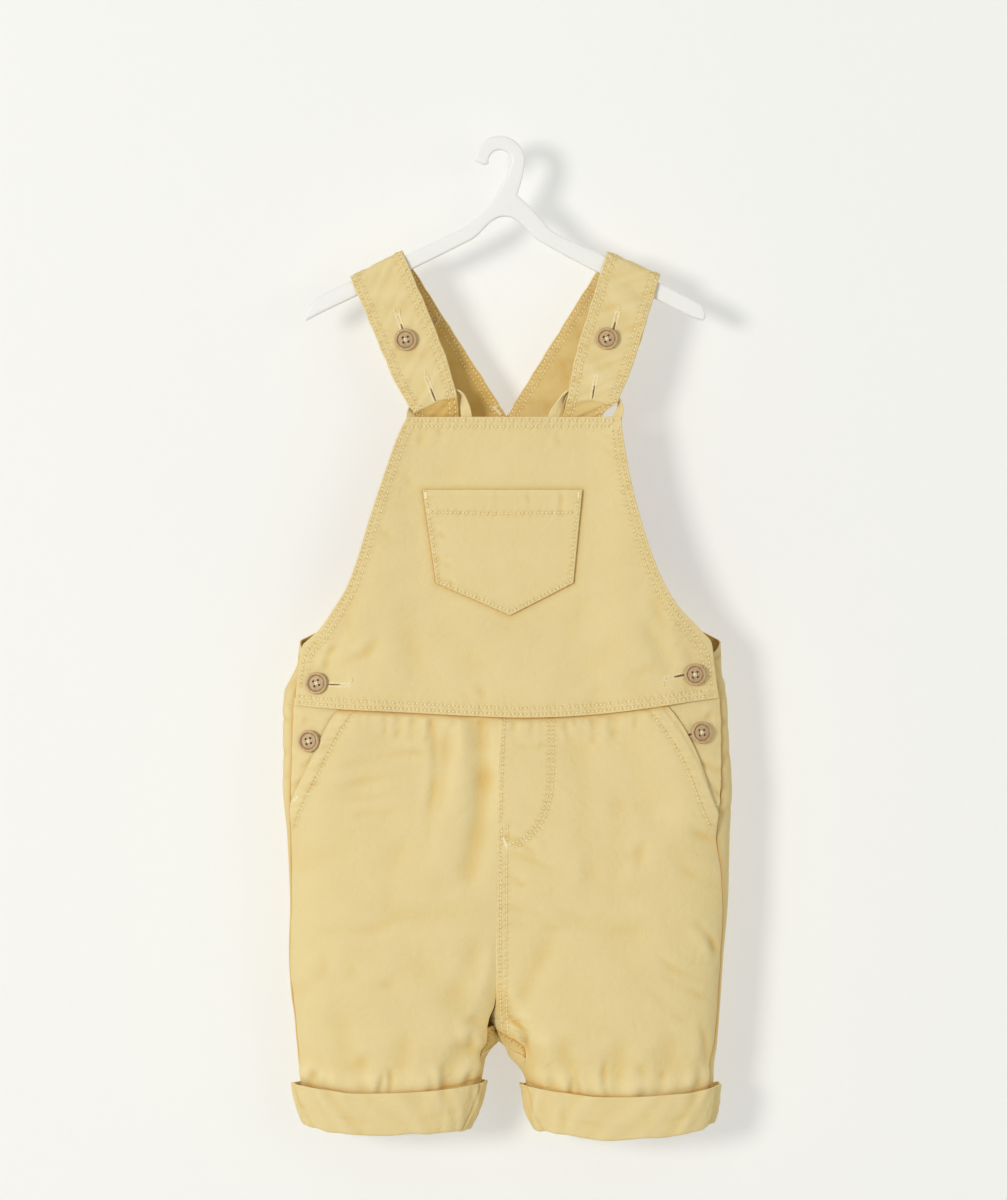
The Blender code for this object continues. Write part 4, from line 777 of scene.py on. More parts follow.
def nearest_row(x, z, rows):
    """For each place, how far along and how far off the nearest stitch row it is."""
    best_off = np.full(x.shape, NO_SEAM)
    best_along = np.zeros(x.shape)
    for row in rows:
        passed = 0.0
        for (x0, z0), (x1, z1) in zip(row, row[1:]):
            dx, dz = x1 - x0, z1 - z0
            length = math.hypot(dx, dz)
            share = np.clip(((x - x0) * dx + (z - z0) * dz) / length**2, 0.0, 1.0)
            off = np.hypot(x - x0 - share * dx, z - z0 - share * dz)
            near = off < best_off
            best_off = np.where(near, off, best_off)
            best_along = np.where(near, passed + share * length, best_along)
            passed += length
    return best_along, best_off


def clear_of_changes(passed, off):
    """How far off the nearest row is, or far off where the nearest row changes, so that neither
    relief nor colour is torn there."""
    changes = np.zeros(passed.shape, bool)
    down = np.abs(np.diff(passed, axis=0)) > ROW_CHANGE
    across = np.abs(np.diff(passed, axis=1)) > ROW_CHANGE
    changes[:-1] |= down
    changes[1:] |= down
    changes[:, :-1] |= across
    changes[:, 1:] |= across
    return np.where(changes, NO_SEAM, off)


def seam_relief(passed, off, pucker):
    """The trough that a stitch row draws into the cloth, and the puckers across it."""
    return pucker * ripples(passed + 0.5 * off, 5.8, 1.3) * bell(off, 3.2) - 0.28 * bell(off, 0.75)


def rolled(edge):
    """How far a wall's faces draw together at a free edge, as a share of half its thickness."""
    inside = np.clip(1 - edge / 0.65, 0.0, 1.0)
    return 1 - np.sqrt(1 - inside**2 * 0.96)


# ------ meshes


def placed(name, data):
    """An object in the scene."""
    obj = bpy.data.objects.new(name, data)
    bpy.context.scene.collection.objects.link(obj)
    return obj


def mesh_object(name, points, faces, look, attributes=None):
    """An object of points in millimetres, shaded smooth."""
    data = bpy.data.meshes.new(name)
    data.from_pydata((np.reshape(points, (-1, 3)) * MM).tolist(), [], faces)
    data.validate()
    for key, values in (attributes or {}).items():
        layer = data.attributes.new(key, "FLOAT_VECTOR", "POINT")
        layer.data.foreach_set("vector", np.asarray(values, np.float32).ravel())
    data.materials.append(look)
    data.shade_smooth()
    return placed(name, data)


def cloth_object(name, points, faces, seam, weave, fold):
    return mesh_object(name, points, faces, twill_material(), {"seam": seam, "weave": weave, "fold": fold})


def grid_faces(rows, columns, first=0, wrap=False):
    """Faces of a grid of points that starts at a point's number."""
    index = first + np.arange(rows * columns).reshape(rows, columns)
    if wrap:
        index = np.concatenate([index, index[:, :1]], axis=1)
    a, b, c, d = index[:-1, :-1], index[:-1, 1:], index[1:, 1:], index[1:, :-1]
    return np.stack([a, b, c, d], axis=-1).reshape(-1, 4)


def tube_faces(rings, sides, first=0):
    """Faces of a tube of rings of points, closed at both ends."""
    last = first + (rings - 1) * sides
    ends = [list(range(first, first + sides))[::-1], list(range(last, last + sides))]
    return grid_faces(rings, sides, first, wrap=True).tolist() + ends


def rim_of(rows, columns):
    index = np.arange(rows * columns).reshape(rows, columns)
    return np.concatenate([index[0], index[1:, -1], index[-1, -2::-1], index[-2:0:-1, 0]])


# A fold attribute of cloth that has no painted shade: even, in its face's own colour and under nothing
NO_PAINTED_SHADE = (0.0, 0.0, CLEAR)


def shell(name, place, normal, stands, edge, weave, rows, sewn=1.0, under=CLEAR, pucker=0.14, deep=0.0):
    """A closed thin wall on a grid of places. stands is how far its outer face lies off them, edge the
    distance to the nearest free edge, rows the stitch rows that cross it where sewn is 1, under the distance
    to the edge of a piece that lies on it, along which shade is painted, and deep how much of the reverse's
    painted shade the outer face has. Shade is also painted in its hollows and on its rims that face right or
    down."""
    shape, size = stands.shape, stands.size
    passed, off = nearest_row(place[..., 0], place[..., 2], rows)
    off = np.where(np.broadcast_to(sewn, shape) > 0.5, clear_of_changes(passed, off), NO_SEAM)
    hollow = hollows(stands)
    stands = stands + seam_relief(passed, off, pucker)
    close = rolled(edge) * CLOTH / 2
    outer = place + normal * (stands - close)[..., None]
    inner = place + normal * (stands - CLOTH + close)[..., None]
    rim = rim_of(*shape)
    following = np.roll(rim, -1)
    side = np.stack([following, rim, rim + size, following + size], axis=1)
    faces = np.concatenate([grid_faces(*shape), grid_faces(*shape, size)[:, ::-1], side])
    if np.dot(np.cross(outer[1, 0] - outer[0, 0], outer[0, 1] - outer[0, 0]), normal[0, 0]) > 0:
        faces = faces[:, ::-1]
    seam = np.stack([passed, off, np.minimum(edge, CLEAR)], axis=2)
    weave = np.concatenate([weave, np.zeros(shape + (1,))], axis=2)
    # Painted shade along the rims that face right or down, away from the key lamp
    under = np.where(at_shaded_rim(place), 0.0, np.minimum(np.abs(under), CLEAR))
    fold = np.stack([hollow, np.broadcast_to(deep, shape), under], axis=2)
    return cloth_object(
        name, [outer, inner], faces.tolist(), [seam, seam], [weave, weave + (500, 0, 0)],
        [fold, fold * (-1, 0, 0) + (0, 1, CLEAR)],
    )


def at_shaded_rim(place):
    """True at the rims that face right or down, away from the key lamp, where shade is painted."""
    out = np.zeros(place.shape)
    out[0], out[-1] = place[0] - place[1], place[-1] - place[-2]
    out[:, 0] += place[:, 0] - place[:, 1]
    out[:, -1] += place[:, -1] - place[:, -2]
    return out[..., 0] - out[..., 2] > 1e-6


def dress(obj, slot, *nodes):
    """Hangs a piece on the part in place of its solids."""
    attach(obj, "root")
    if nodes:
        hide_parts(*nodes)
    return obj


# ------ materials


class Nodes:
    """Adds nodes to a new material and links them in one call each."""

    def __init__(self, name):
        self.material = bpy.data.materials.new(name)
        self.material.use_nodes = True
        self.tree = self.material.node_tree

    def put(self, socket, value):
        if isinstance(value, bpy.types.NodeSocket):
            self.tree.links.new(value, socket)
        else:
            socket.default_value = value

    def set(self, node, **inputs):
        for key, value in inputs.items():
            self.put(node.inputs[key.replace("_", " ")], value)
        return node

    def add(self, kind, settings=None, **inputs):
        node = self.tree.nodes.new(kind)
        for key, value in (settings or {}).items():
            setattr(node, key, value)
        return self.set(node, **inputs)

    def finish(self, **inputs):
        """Sets the shader's own sockets."""
        self.set(self.tree.nodes["Principled BSDF"], **inputs)
        return self.material

    def place(self):
        return self.add("ShaderNodeTexCoord").outputs["Object"]

    def math(self, operation, *values):
        node = self.add("ShaderNodeMath", {"operation": operation})
        for socket, value in zip(node.inputs, values):
            self.put(socket, value)
        return node.outputs[0]

    def times(self, first, second):
        return self.math("MULTIPLY", first, second)

    def times_plus(self, first, second, third):
        return self.math("MULTIPLY_ADD", first, second, third)

    def noise(self, vector, scale, detail=3.0, roughness=0.55, distortion=0.0):
        node = self.add(
            "ShaderNodeTexNoise", Scale=scale, Detail=detail, Roughness=roughness, Distortion=distortion,
            Vector=vector,
        )
        return node.outputs["Fac"]

    def attribute(self, name):
        return self.add("ShaderNodeAttribute", {"attribute_name": name}).outputs["Vector"]

    def split(self, vector):
        return self.add("ShaderNodeSeparateXYZ", Vector=vector).outputs

    def mix(self, share, first, second, blend="MIX"):
        settings = {"data_type": "RGBA", "blend_type": blend}
        return self.add("ShaderNodeMix", settings, Factor=share, A=first, B=second).outputs["Result"]

    def tinted(self, body, *rows):
        """A colour multiplied by tints, each by its share: a value times a factor, from 0 to a limit."""
        for value, factor, limit, tint in rows:
            share = self.math("MINIMUM", self.math("MAXIMUM", self.times(value, factor), 0.0), limit)
            body = self.mix(share, body, tint + (1.0,), "MULTIPLY")
        return body

    def bump(self, height, strength, distance, **inputs):
        inputs |= {"Strength": strength, "Distance": distance, "Height": height}
        return self.add("ShaderNodeBump", **inputs).outputs[0]

    def around(self, value, width):
        """1 where a value is 0, falling away over a width on a bell curve."""
        share = self.math("DIVIDE", value, width)
        return self.math("EXPONENT", self.times(self.times(share, share), -1.0))


def shade(colour, factor):
    return tuple(min(1.0, c * factor) for c in colour) + (1.0,)


# Painted shade: the reverse, which light crosses from cloth to cloth, is painted redder and deeper than the
# face
REVERSE_SHADE_TINT = (1.06, 1.02, 0.97)


def twill_material(name="washed_twill"):
    """Washed cotton twill: diagonal ribs, yarn grain, needle holes, roped seams and worn edges. Shade is
    painted into its colour: golden in its hollows, in its needle holes, beside its stitch rows, in its roping
    and along the edges of pieces that lie on it, with a painted highlight on its ridges. Its reverse, and
    other places in deep shade, are painted in a deeper colour."""
    if name in bpy.data.materials:
        return bpy.data.materials[name]
    cloth = bpy.context.scene.dungarees_cloth
    thread = bpy.context.scene.dungarees_thread
    nodes = Nodes(name)
    weave = nodes.attribute("weave")
    passed, off, edge = nodes.split(nodes.attribute("seam"))
    hollow, reverse_shade, under = nodes.split(nodes.attribute("fold"))
    turned = nodes.add("ShaderNodeMapping", Vector=weave, Rotation=(0, 0, math.radians(cloth.rib_angle)))
    ribs = nodes.add(
        "ShaderNodeTexWave", {"wave_type": "BANDS", "bands_direction": "X", "wave_profile": "SIN"},
        Vector=turned.outputs[0], Scale=math.pi / 10 / cloth.rib_pitch, Distortion=0.9, Detail=2.0,
        Detail_Scale=1.6,
    ).outputs["Fac"]
    grain = nodes.noise(weave, 2.4, detail=4.0, roughness=0.7)
    pull = nodes.noise(weave, 0.30, detail=2.0, roughness=0.5, distortion=0.6)
    crumple = nodes.noise(weave, 0.10, detail=2.0, roughness=0.5, distortion=0.8)
    cloudy = nodes.noise(weave, 0.022, detail=4.0, roughness=0.6)
    patchy = nodes.noise(weave, 0.07)
    lean = nodes.times_plus(edge, 2 * math.pi / 9, nodes.times(pull, 7.0))
    rope = nodes.math("SINE", nodes.times_plus(passed, 2 * math.pi / 4.4, lean))
    rope = nodes.times(rope, nodes.around(off, 2.4))
    phase = nodes.times(passed, 2 * math.pi / thread.stitch_length)
    holes = nodes.math("POWER", nodes.times_plus(nodes.math("COSINE", phase), 0.5, 0.5), 4.0)
    holes = nodes.times(holes, nodes.around(off, 0.55))
    yarn = nodes.times_plus(ribs, 0.25, nodes.times(grain, 0.5))
    colour = tuple(cloth.colour)
    # Painted shade: the reverse's colour is the face's colour deepened and reddened
    back = tuple(c**cloth.reverse_shade_depth * w for c, w in zip(colour, REVERSE_SHADE_TINT))
    body = nodes.tinted(
        nodes.mix(reverse_shade, colour + (1.0,), back + (1.0,)),
        (cloudy, 1.0, 1.0, (0.93, 0.92, 0.88)),
        (patchy, 0.6, 1.0, (1.0, 0.97, 0.87)),
        (yarn, 0.35, 1.0, (0.80, 0.78, 0.70)),
        # Painted shade in the hollows and painted highlight on the ridges, by how far each place lies under
        # or over its surroundings
        (hollow, 0.36, 1.0, (0.92, 0.77, 0.47)),
        (hollow, -0.6, 0.8, (1.07, 1.08, 1.12)),
        # Painted shade in the trough beside each stitch row and in the grooves of the roping
        (nodes.around(off, 1.5), 0.35, 1.0, (0.94, 0.89, 0.76)),
        (rope, -0.42, 1.0, (0.84, 0.73, 0.50)),
        (nodes.around(edge, 0.9), 0.6, 1.0, (1.08, 1.10, 1.18)),
        # Painted shade along the edges of pieces that lie on this one: a narrow dark line and a wider soft
        # one
        (nodes.around(under, 0.9), 0.8, 1.0, (0.84, 0.60, 0.31)),
        (nodes.around(under, 3.0), 0.45, 1.0, (0.90, 0.74, 0.47)),
        # Painted shade in the needle holes
        (holes, 0.6, 1.0, (0.68, 0.50, 0.27)),
    )
    folds = nodes.times_plus(rope, 0.13, nodes.times_plus(pull, 0.22, nodes.times(crumple, 0.9)))
    folds = nodes.bump(nodes.times_plus(holes, -0.30, folds), cloth.crumple, 1.0 * MM)
    height = nodes.times_plus(grain, 0.5, nodes.times(ribs, 0.35))
    return nodes.finish(
        Base_Color=body, Roughness=0.88, Specular_IOR_Level=0.22, Sheen_Weight=cloth.sheen,
        Sheen_Roughness=0.45, Sheen_Tint=shade(colour, 1.1),
        Normal=nodes.bump(height, cloth.relief, 0.1 * MM, Normal=folds),
    )


def thread_material():
    """Mercerised sewing thread, twisted from two plies."""
    if "sewing_thread" in bpy.data.materials:
        return bpy.data.materials["sewing_thread"]
    colour = bpy.context.scene.dungarees_thread.colour
    nodes = Nodes("sewing_thread")
    place = nodes.place()
    tone = nodes.noise(place, 900.0, detail=2.0)
    ply = nodes.add(
        "ShaderNodeTexWave", {"bands_direction": "DIAGONAL"}, Vector=place, Scale=550.0, Distortion=1.0
    )
    return nodes.finish(
        Base_Color=nodes.mix(tone, shade(colour, 0.92), shade(colour, 1.06)), Roughness=0.7,
        Specular_IOR_Level=0.25, Normal=nodes.bump(ply.outputs["Fac"], 0.4, 0.05 * MM),
    )


def wood_material():
    """Coconut wood: tan, with short dark vessels along the grain, painted shade in the groove round its face
    and a painted highlight on its rim.
    """
    colour = bpy.context.scene.dungarees_hardware.button_colour
    nodes = Nodes("coconut_wood_turned")
    place = nodes.place()
    drawn = nodes.add("ShaderNodeMapping", Vector=place, Scale=(1.0, 0.10, 1.0), Rotation=(0.0, 0.0, 0.6))
    vessels = nodes.noise(drawn.outputs[0], 2300.0, roughness=0.65)
    bands = nodes.noise(drawn.outputs[0], 620.0, detail=4.0, roughness=0.6, distortion=0.8)
    streak = nodes.math("POWER", nodes.math("SUBTRACT", 1.0, vessels), 4.0)
    x, y, _ = nodes.split(place)
    out = nodes.times(nodes.math("SQRT", nodes.times_plus(x, x, nodes.times(y, y))), 1 / MM)
    body = nodes.tinted(
        nodes.mix(bands, shade(colour, 0.70), shade(colour, 1.30)),
        (streak, 3.6, 1.0, (0.42, 0.32, 0.25)),
        # Painted shade in the groove round the face and a painted highlight on the rim
        (nodes.around(nodes.math("SUBTRACT", out, GROOVE_RADIUS), 0.45), 0.6, 1.0, (0.50, 0.40, 0.32)),
        (nodes.around(nodes.math("SUBTRACT", out, RIM_RADIUS), 0.55), 0.8, 1.0, (1.22, 1.20, 1.12)),
    )
    return nodes.finish(
        Base_Color=body, Roughness=0.5, Specular_IOR_Level=0.4, Normal=nodes.bump(vessels, 0.5, 0.12 * MM)
    )


def plastic_material():
    """White moulded plastic with a faint orange-peel skin."""
    colour = bpy.context.scene.dungarees_hardware.hanger_colour
    nodes = Nodes("moulded_white")
    place = nodes.place()
    skin, slow = nodes.noise(place, 420.0, detail=2.0), nodes.noise(place, 24.0, detail=2.0)
    return nodes.finish(
        Base_Color=nodes.mix(slow, shade(colour, 0.975), shade(colour, 1.015)),
        Roughness=nodes.times_plus(skin, 0.12, 0.36), Subsurface_Weight=0.08,
        Subsurface_Radius=(0.002, 0.002, 0.002), Normal=nodes.bump(skin, 0.12, 0.1 * MM),
    )


def paint_material(name, colour, glow=0.0, one_sided=False):
    """Matt paint on a lit screen. A one-sided wall is clear from behind, so it never hides the
    garment's back."""
    nodes = Nodes(name)
    tone = nodes.noise(nodes.place(), 3.0)
    if one_sided:
        facing = nodes.add("ShaderNodeNewGeometry").outputs["Backfacing"]
        clear = nodes.add("ShaderNodeBsdfTransparent")
        both = nodes.add("ShaderNodeMixShader")
        ends = (facing, nodes.tree.nodes["Principled BSDF"].outputs[0], clear.outputs[0])
        for socket, value in zip(both.inputs, ends):
            nodes.put(socket, value)
        nodes.set(nodes.tree.nodes["Material Output"], Surface=both.outputs[0])
    return nodes.finish(
        Base_Color=nodes.mix(tone, shade(colour, 0.99), shade(colour, 1.01)), Roughness=0.95,
        Emission_Color=(0.837, 0.879, 1.0, 1.0), Emission_Strength=glow,
    )


# ------ cloth panels


def panel_grid(side, z, start, end, count, to_z):
    """Places, normals and distances from the first edge of a panel on the form."""
    turns, passed = arc(side, z, start, end, count)
    levels_down = z[:, None]
    place = form_point(side, levels_down, turns)
    normal = form_normal(side, levels_down, turns)
    place[..., 2] = to_z(levels_down, place[..., 0])
    return place, normal, passed


def edge_distance(passed, z, top, bottom):
    """Distance of each grid point to the panel's nearest edge."""
    across = np.minimum(passed, passed[:, -1:] - passed)
    down = np.minimum(top - z, z - bottom)[:, None]
    return np.minimum(across, np.maximum(down, 0.0))


def weave_of(passed, z, side=1):
    return np.stack([side * passed, np.broadcast_to(z, passed.shape)], axis=2)


def front_leg(side, word):
    top = WAIST_Z + TUCK
    z = top - spread(top - HEM_Z, 150)
    seam, mouth = seam_x(side, z), mouth_x(side, z)
    edge_x = np.where(side * (seam - mouth) > 0, mouth, seam)
    lift = front_lift(side, edge_x, z)
    start = raised_turn(side, z, edge_x, lift)
    end = turn_at(side, z, front_edge(side, z))
    place, normal, passed = panel_grid(
        side, z, start, end, 96, lambda a, x: leg_z(side, a, x, top, HEM_Z)
    )
    x, height = place[..., 0], place[..., 2]
    under_waist = waist_z(x) - height
    below = smooth_step((under_waist - 0.5) / 3.0)
    stands = front_lift(side, x, height) - creases(FINE_FRONT, x, height) * below
    stands += 0.55 * undulation(x, height, 1.0 + side) * below
    gathers = ripples(x, 8.5, 1.0 + side) * np.exp(-np.maximum(under_waist, 0.0) / 9.0)
    stands += 0.38 * gathers * below - 0.4 * bell(under_waist, 1.8)
    hem = np.where(side * (mouth_x(side, height) - x) > -0.5, side * (mouth_x(side, height) - x), 99.0)
    near_mouth = (1 - smooth_step((hem - SECOND_ROW - 0.6) / 1.4)) * smooth_step((height + 425.0) / 6.0)
    stands += near_mouth * (0.55 + 0.26 * ripples(height, 6.0, 2.0))
    above_cuff = height - cuff_edge(side, x, "top")
    stands += 1.3 * bell(above_cuff - 7.0, 7.0) * (1 + 0.5 * ripples(x, 21.0, 0.6))
    edge = edge_distance(passed, z, top, HEM_Z)
    inner = passed[:, -1:] - passed
    low = smooth_step((-height - 515.0) / 25.0)
    # Painted shade under the waist seam and above the cuff, and the reverse's painted shade near the inner
    # edges below the crotch
    return shell(
        f"front_leg_{word}_cloth", place, normal, stands, edge, weave_of(passed, height, side),
        front_rows(side), under=np.minimum(np.abs(under_waist), np.abs(above_cuff)),
        deep=0.5 * low * bell(inner, 4.0 if side < 0 else 10.0),
    )


def back_leg(side, word):
    top = WAIST_Z + SEAM_CLOSED
    z = top - spread(top - HEM_Z, 140)
    seam = turn_at(side, z, seam_x(side, z))
    lap = UNDERLAP * smooth_step((z - OPENING_END_Z) / 26.0)
    start = shifted(side, z, seam, lap)
    inside = turn_at(side, z, along(CENTRE, z, "x"))
    crotch = turn_at(side, np.array([CROTCH_Z]), along(CENTRE, CROTCH_Z, "x"))
    meet = smooth_step((CROTCH_Z - z) / EDGES_MEET)
    below = crotch + (turn_at(side, z, front_edge(side, z)) - crotch) * meet - 2 * math.pi
    end = np.where(z > CROTCH_Z, -inside, below)
    place, normal, passed = panel_grid(
        side, z, start, end, 100, lambda a, x: leg_z(side, a, x, top, HEM_Z)
    )
    x, height = place[..., 0], place[..., 2]
    behind = smooth_step((normal[..., 1] - 0.1) / 0.4)
    inset = smooth_step((side * (outer_x(side, height) - x) - 10.0) / 20.0)
    stands = back_lift(side, x, height) - creases(FINE_BACK, x, height) * behind
    stands -= creases(FINE_SIDE, x, height) * (1 - behind)
    stands += 0.55 * undulation(x, height, 4.0 + side) * (0.3 + 0.7 * behind)
    casing = bell(np.maximum(waist_z(x) - height - 12.0, 0.0), 12.0)
    stands += 0.8 * ripples(x, 7.4, 3.0 + side) * casing * inset * behind
    edge = edge_distance(passed, z, top, HEM_Z)
    above_cuff = height - cuff_edge(side, x, "top")
    from_seam = passed - lap[:, None]
    inner = (passed[:, -1:] - passed) / 16.0
    # Painted shade above the cuff and beside the side seam line where the front lies over the back, and the
    # reverse's painted shade near the inner edge below the crotch
    return shell(
        f"back_leg_{word}_cloth", place, normal, stands, edge, weave_of(from_seam, height, side),
        back_rows(side), sewn=behind, under=np.minimum(np.abs(above_cuff), np.abs(from_seam)),
        deep=0.45 * bell(inner) * smooth_step((CROTCH_Z + 6.0 - height) / 8.0),
    )


def crotch_seam():
    """The seam under the crotch, where the back panels come forward to the inseams: a saddle
    between the front legs' edges and the back legs'."""
    shares = np.linspace(0.0, 1.0, 56)
    halves = []
    for side in (-1, 1):
        upper = FRONT_CROTCH_Z + (CROTCH_Z - EDGES_MEET - FRONT_CROTCH_Z) * shares
        lower = CROTCH_Z - EDGES_MEET * shares
        corner = turn_at(side, np.array([CROTCH_Z]), along(CENTRE, CROTCH_Z, "x"))
        met = turn_at(side, lower, front_edge(side, lower))
        edges = []
        for z, turn, top in (
            (upper, turn_at(side, upper, front_edge(side, upper)), WAIST_Z + TUCK),
            (lower, corner + (met - corner) * smooth_step(shares), WAIST_Z + SEAM_CLOSED),
        ):
            line = form_point(side, z, turn) - form_normal(side, z, turn) * CLOTH
            line[:, 2] = leg_z(side, z, line[:, 0], top, HEM_Z)
            edges.append(line)
        across = np.linspace(0.0, 1.0, 15)[:, None, None]
        halves.append(edges[0] + (edges[1] - edges[0]) * across)
    right, left = halves
    middle = (right[:, :1] + left[:, :1]) / 2
    place = np.concatenate([right[:, :0:-1], middle, left[:, 1:]], axis=1)
    down, along_it = np.gradient(place, axis=0), np.gradient(place, axis=1)
    normal = unit(np.cross(along_it, down) + (0.0, -1e-6, 0.0))
    normal = normal * np.sign(np.sum(normal * (0.0, -0.6, -0.8), axis=2, keepdims=True))
    passed = np.broadcast_to(passed_along(place[0]), place.shape[:2])
    depth = np.linalg.norm(place - place[:1], axis=2)
    ribs = np.sin(2 * math.pi * passed / 1.9 + 0.8 * np.sin(passed / 3.0))
    stands = 0.3 * ribs * bell(depth - 2.6, 1.8) + 0.5 * bell(depth - 3.0, 2.0)
    row = place[3][:, [0, 2]]
    # Painted shade beside the front legs' edges, and part of the reverse's painted shade all over
    return shell(
        "crotch_seam_cloth", place, normal, stands, np.full(stands.shape, CLEAR),
        np.stack([passed + 60.0, depth], axis=2), [row], under=depth - 0.2, deep=0.4,
    )


def pocket_facing(side, word):
    top = WAIST_Z + TUCK
    z = top - spread(top - FACING_FOOT_Z, 46)
    edge_x = seam_x(side, z)
    start = raised_turn(side, z, edge_x, facing_lift(side, edge_x, z))
    end = turn_at(side, z, mouth_x(side, z) - side * POCKET_UNDERLAP)

    def to_z(a, x):
        share = (a - HEM_Z) / (top - HEM_Z)
        return a + (waist_z(x) - WAIST_Z) * smooth_step(share * 2.2 - 1.2)

    place, normal, passed = panel_grid(side, z, start, end, 26, to_z)
    x, height = place[..., 0], place[..., 2]
    stands = facing_lift(side, x, height)
    free = np.exp(-passed / 7.0)
    stands += 0.3 * ripples(height, 13.0, 2.0 + side) * free - creases(FINE_FACING, x, height)
    edge = edge_distance(passed, z, top, FACING_FOOT_Z)
    # Painted shade beside the front leg's pocket mouth, which lies over the facing
    return shell(
        f"pocket_facing_{word}_cloth", place, normal, stands, edge, weave_of(passed, height, side), [],
        under=mouth_x(side, height) - x,
    )


def bib_relief(x, z):
    """Creases, hems and unevenness of the bib, which its pocket follows."""
    return 0.4 * undulation(x, z, 7.0) - creases(FINE_BIB, x, z)


def bib():
    levels_down = BIB_TOP_Z - spread(BIB_TOP_Z - WAIST_Z, 110)
    left, right = along(BIB, levels_down, "left"), along(BIB, levels_down, "right")
    passed = np.array([spread(width, 130) for width in right - left])
    x = left[:, None] + passed
    share = smooth_step((WAIST_Z + 90.0 - levels_down) / 90.0)[:, None]
    z = levels_down[:, None] + (waist_z(x) - WAIST_Z) * share
    place, normal = bib_points(x, z, np.zeros(x.shape))
    edge = edge_distance(passed, levels_down, BIB_TOP_Z, WAIST_Z)
    stands = bib_relief(x, z) + 0.25 * (1 - smooth_step((edge - SECOND_ROW - 1.0) / 1.2))
    # Painted shade round the pocket's sewn edge
    _, under = nearest_row(x, z, [pocket_outline()])
    return shell(
        "bib_cloth", place, normal, stands, edge, weave_of(passed - 130.0, z), bib_rows(), under=under + 0.3,
        pucker=0.16,
    )


def bib_pocket():
    down = spread(1.0 * (POCKET_TOP_Z - POCKET_CORNER_Z), 42) / (POCKET_TOP_Z - POCKET_CORNER_Z)
    wide = POCKET_RIGHT - POCKET_LEFT
    across = spread(wide, 74) / wide
    x, z = pocket_place(across[None, :], down[:, None])
    x, z = np.broadcast_arrays(x, z)
    place, normal = bib_points(x, z, np.full(x.shape, LAYER))
    edge = np.minimum(
        np.minimum(across, 1 - across)[None, :] * wide,
        np.minimum(POCKET_TOP_Z - z, (1 - down[:, None]) * 60.0),
    )
    edge = np.maximum(edge, 0.0)
    stands = bib_relief(x, z) + 0.22 * smooth_step((z - POCKET_TOP_Z + POCKET_HEM) / 1.2)
    stands += 0.25 * (1 - smooth_step((edge - 3.0) / 1.0))
    for height, reach in ((-243.0, 9.0), (-249.5, 6.0), (-256.0, 11.0), (-267.0, 8.0)):
        stands -= 0.35 * bell(z - height, 1.5) * bell(x - POCKET_LEFT - 6.0, reach)
    weave = np.stack([x - 300.0, z], axis=2)
    return shell("bib_pocket_cloth", place, normal, stands, edge, weave, pocket_rows(), pucker=0.18)


def bodice_turn(side, z):
    """Where the back bodice's edge lies: under the bib's edge below the armhole, and on the back
    above its corner."""
    low = shifted(side, z, turn_at(side, z, seam_x(side, z)), UNDERLAP)
    deep = np.array([UNDERARM_Z])
    under = shifted(side, deep, turn_at(side, deep, seam_x(side, deep)), UNDERLAP)[0]
    middle = under * (ARMHOLE_Z - z) / (ARMHOLE_Z - UNDERARM_Z)
    x = along(ARMHOLE, z, column_of(side, "left", "right"))
    centre, half = lobe(side, z)
    share = np.clip(side * (x - centre) / half, 0.0, 1.0)
    high = -np.arccos(share ** (ROUNDNESS / 2))
    return np.where(z <= UNDERARM_Z, low, np.where(z < ARMHOLE_Z, middle, high))


def back_bodice():
    bottom = WAIST_Z - SEAM_CLOSED
    z = BODICE_TOP_Z - spread(BODICE_TOP_Z - bottom, 70)
    halves = []
    for side in (-1, 1):
        end = -turn_at(side, z, along(CENTRE, z, "x"))
        share = smooth_step((WAIST_Z + 40.0 - z) / 40.0)[:, None]

        def to_z(a, x, share=share):
            return a + (waist_z(x) - WAIST_Z) * share

        halves.append(panel_grid(side, z, bodice_turn(side, z), end, 62, to_z))
    (place_a, normal_a, passed_a), (place_b, normal_b, passed_b) = halves
    place = np.concatenate([place_a, place_b[:, -2::-1]], axis=1)
    normal = np.concatenate([normal_a, normal_b[:, -2::-1]], axis=1)
    total = passed_a[:, -1:] + passed_b[:, -1:]
    passed = np.concatenate([passed_a, total - passed_b[:, -2::-1]], axis=1)
    x, height = place[..., 0], place[..., 2]
    behind = smooth_step((normal[..., 1] - 0.1) / 0.4)
    stands = by_side(back_lift, x, height) - creases(FINE_BODICE, x, height) * behind
    stands -= creases(FINE_SIDE, x, height) * (1 - behind)
    stands += 0.45 * undulation(x, height, 9.0) * (0.3 + 0.7 * behind)
    near_waist = np.exp(-np.maximum(height - waist_z(x), 0.0) / 9.0)
    stands += 0.5 * ripples(x, 7.4, 5.0) * near_waist * behind
    edge = edge_distance(passed, z, BODICE_TOP_Z, bottom)
    # Painted shade along the side seam lines, where the front's edges lie over the bodice
    return shell(
        "back_bodice_cloth", place, normal, stands, edge, weave_of(passed - total / 2, height),
        bodice_rows(), sewn=behind, under=np.minimum(passed, total - passed) - UNDERLAP,
    )


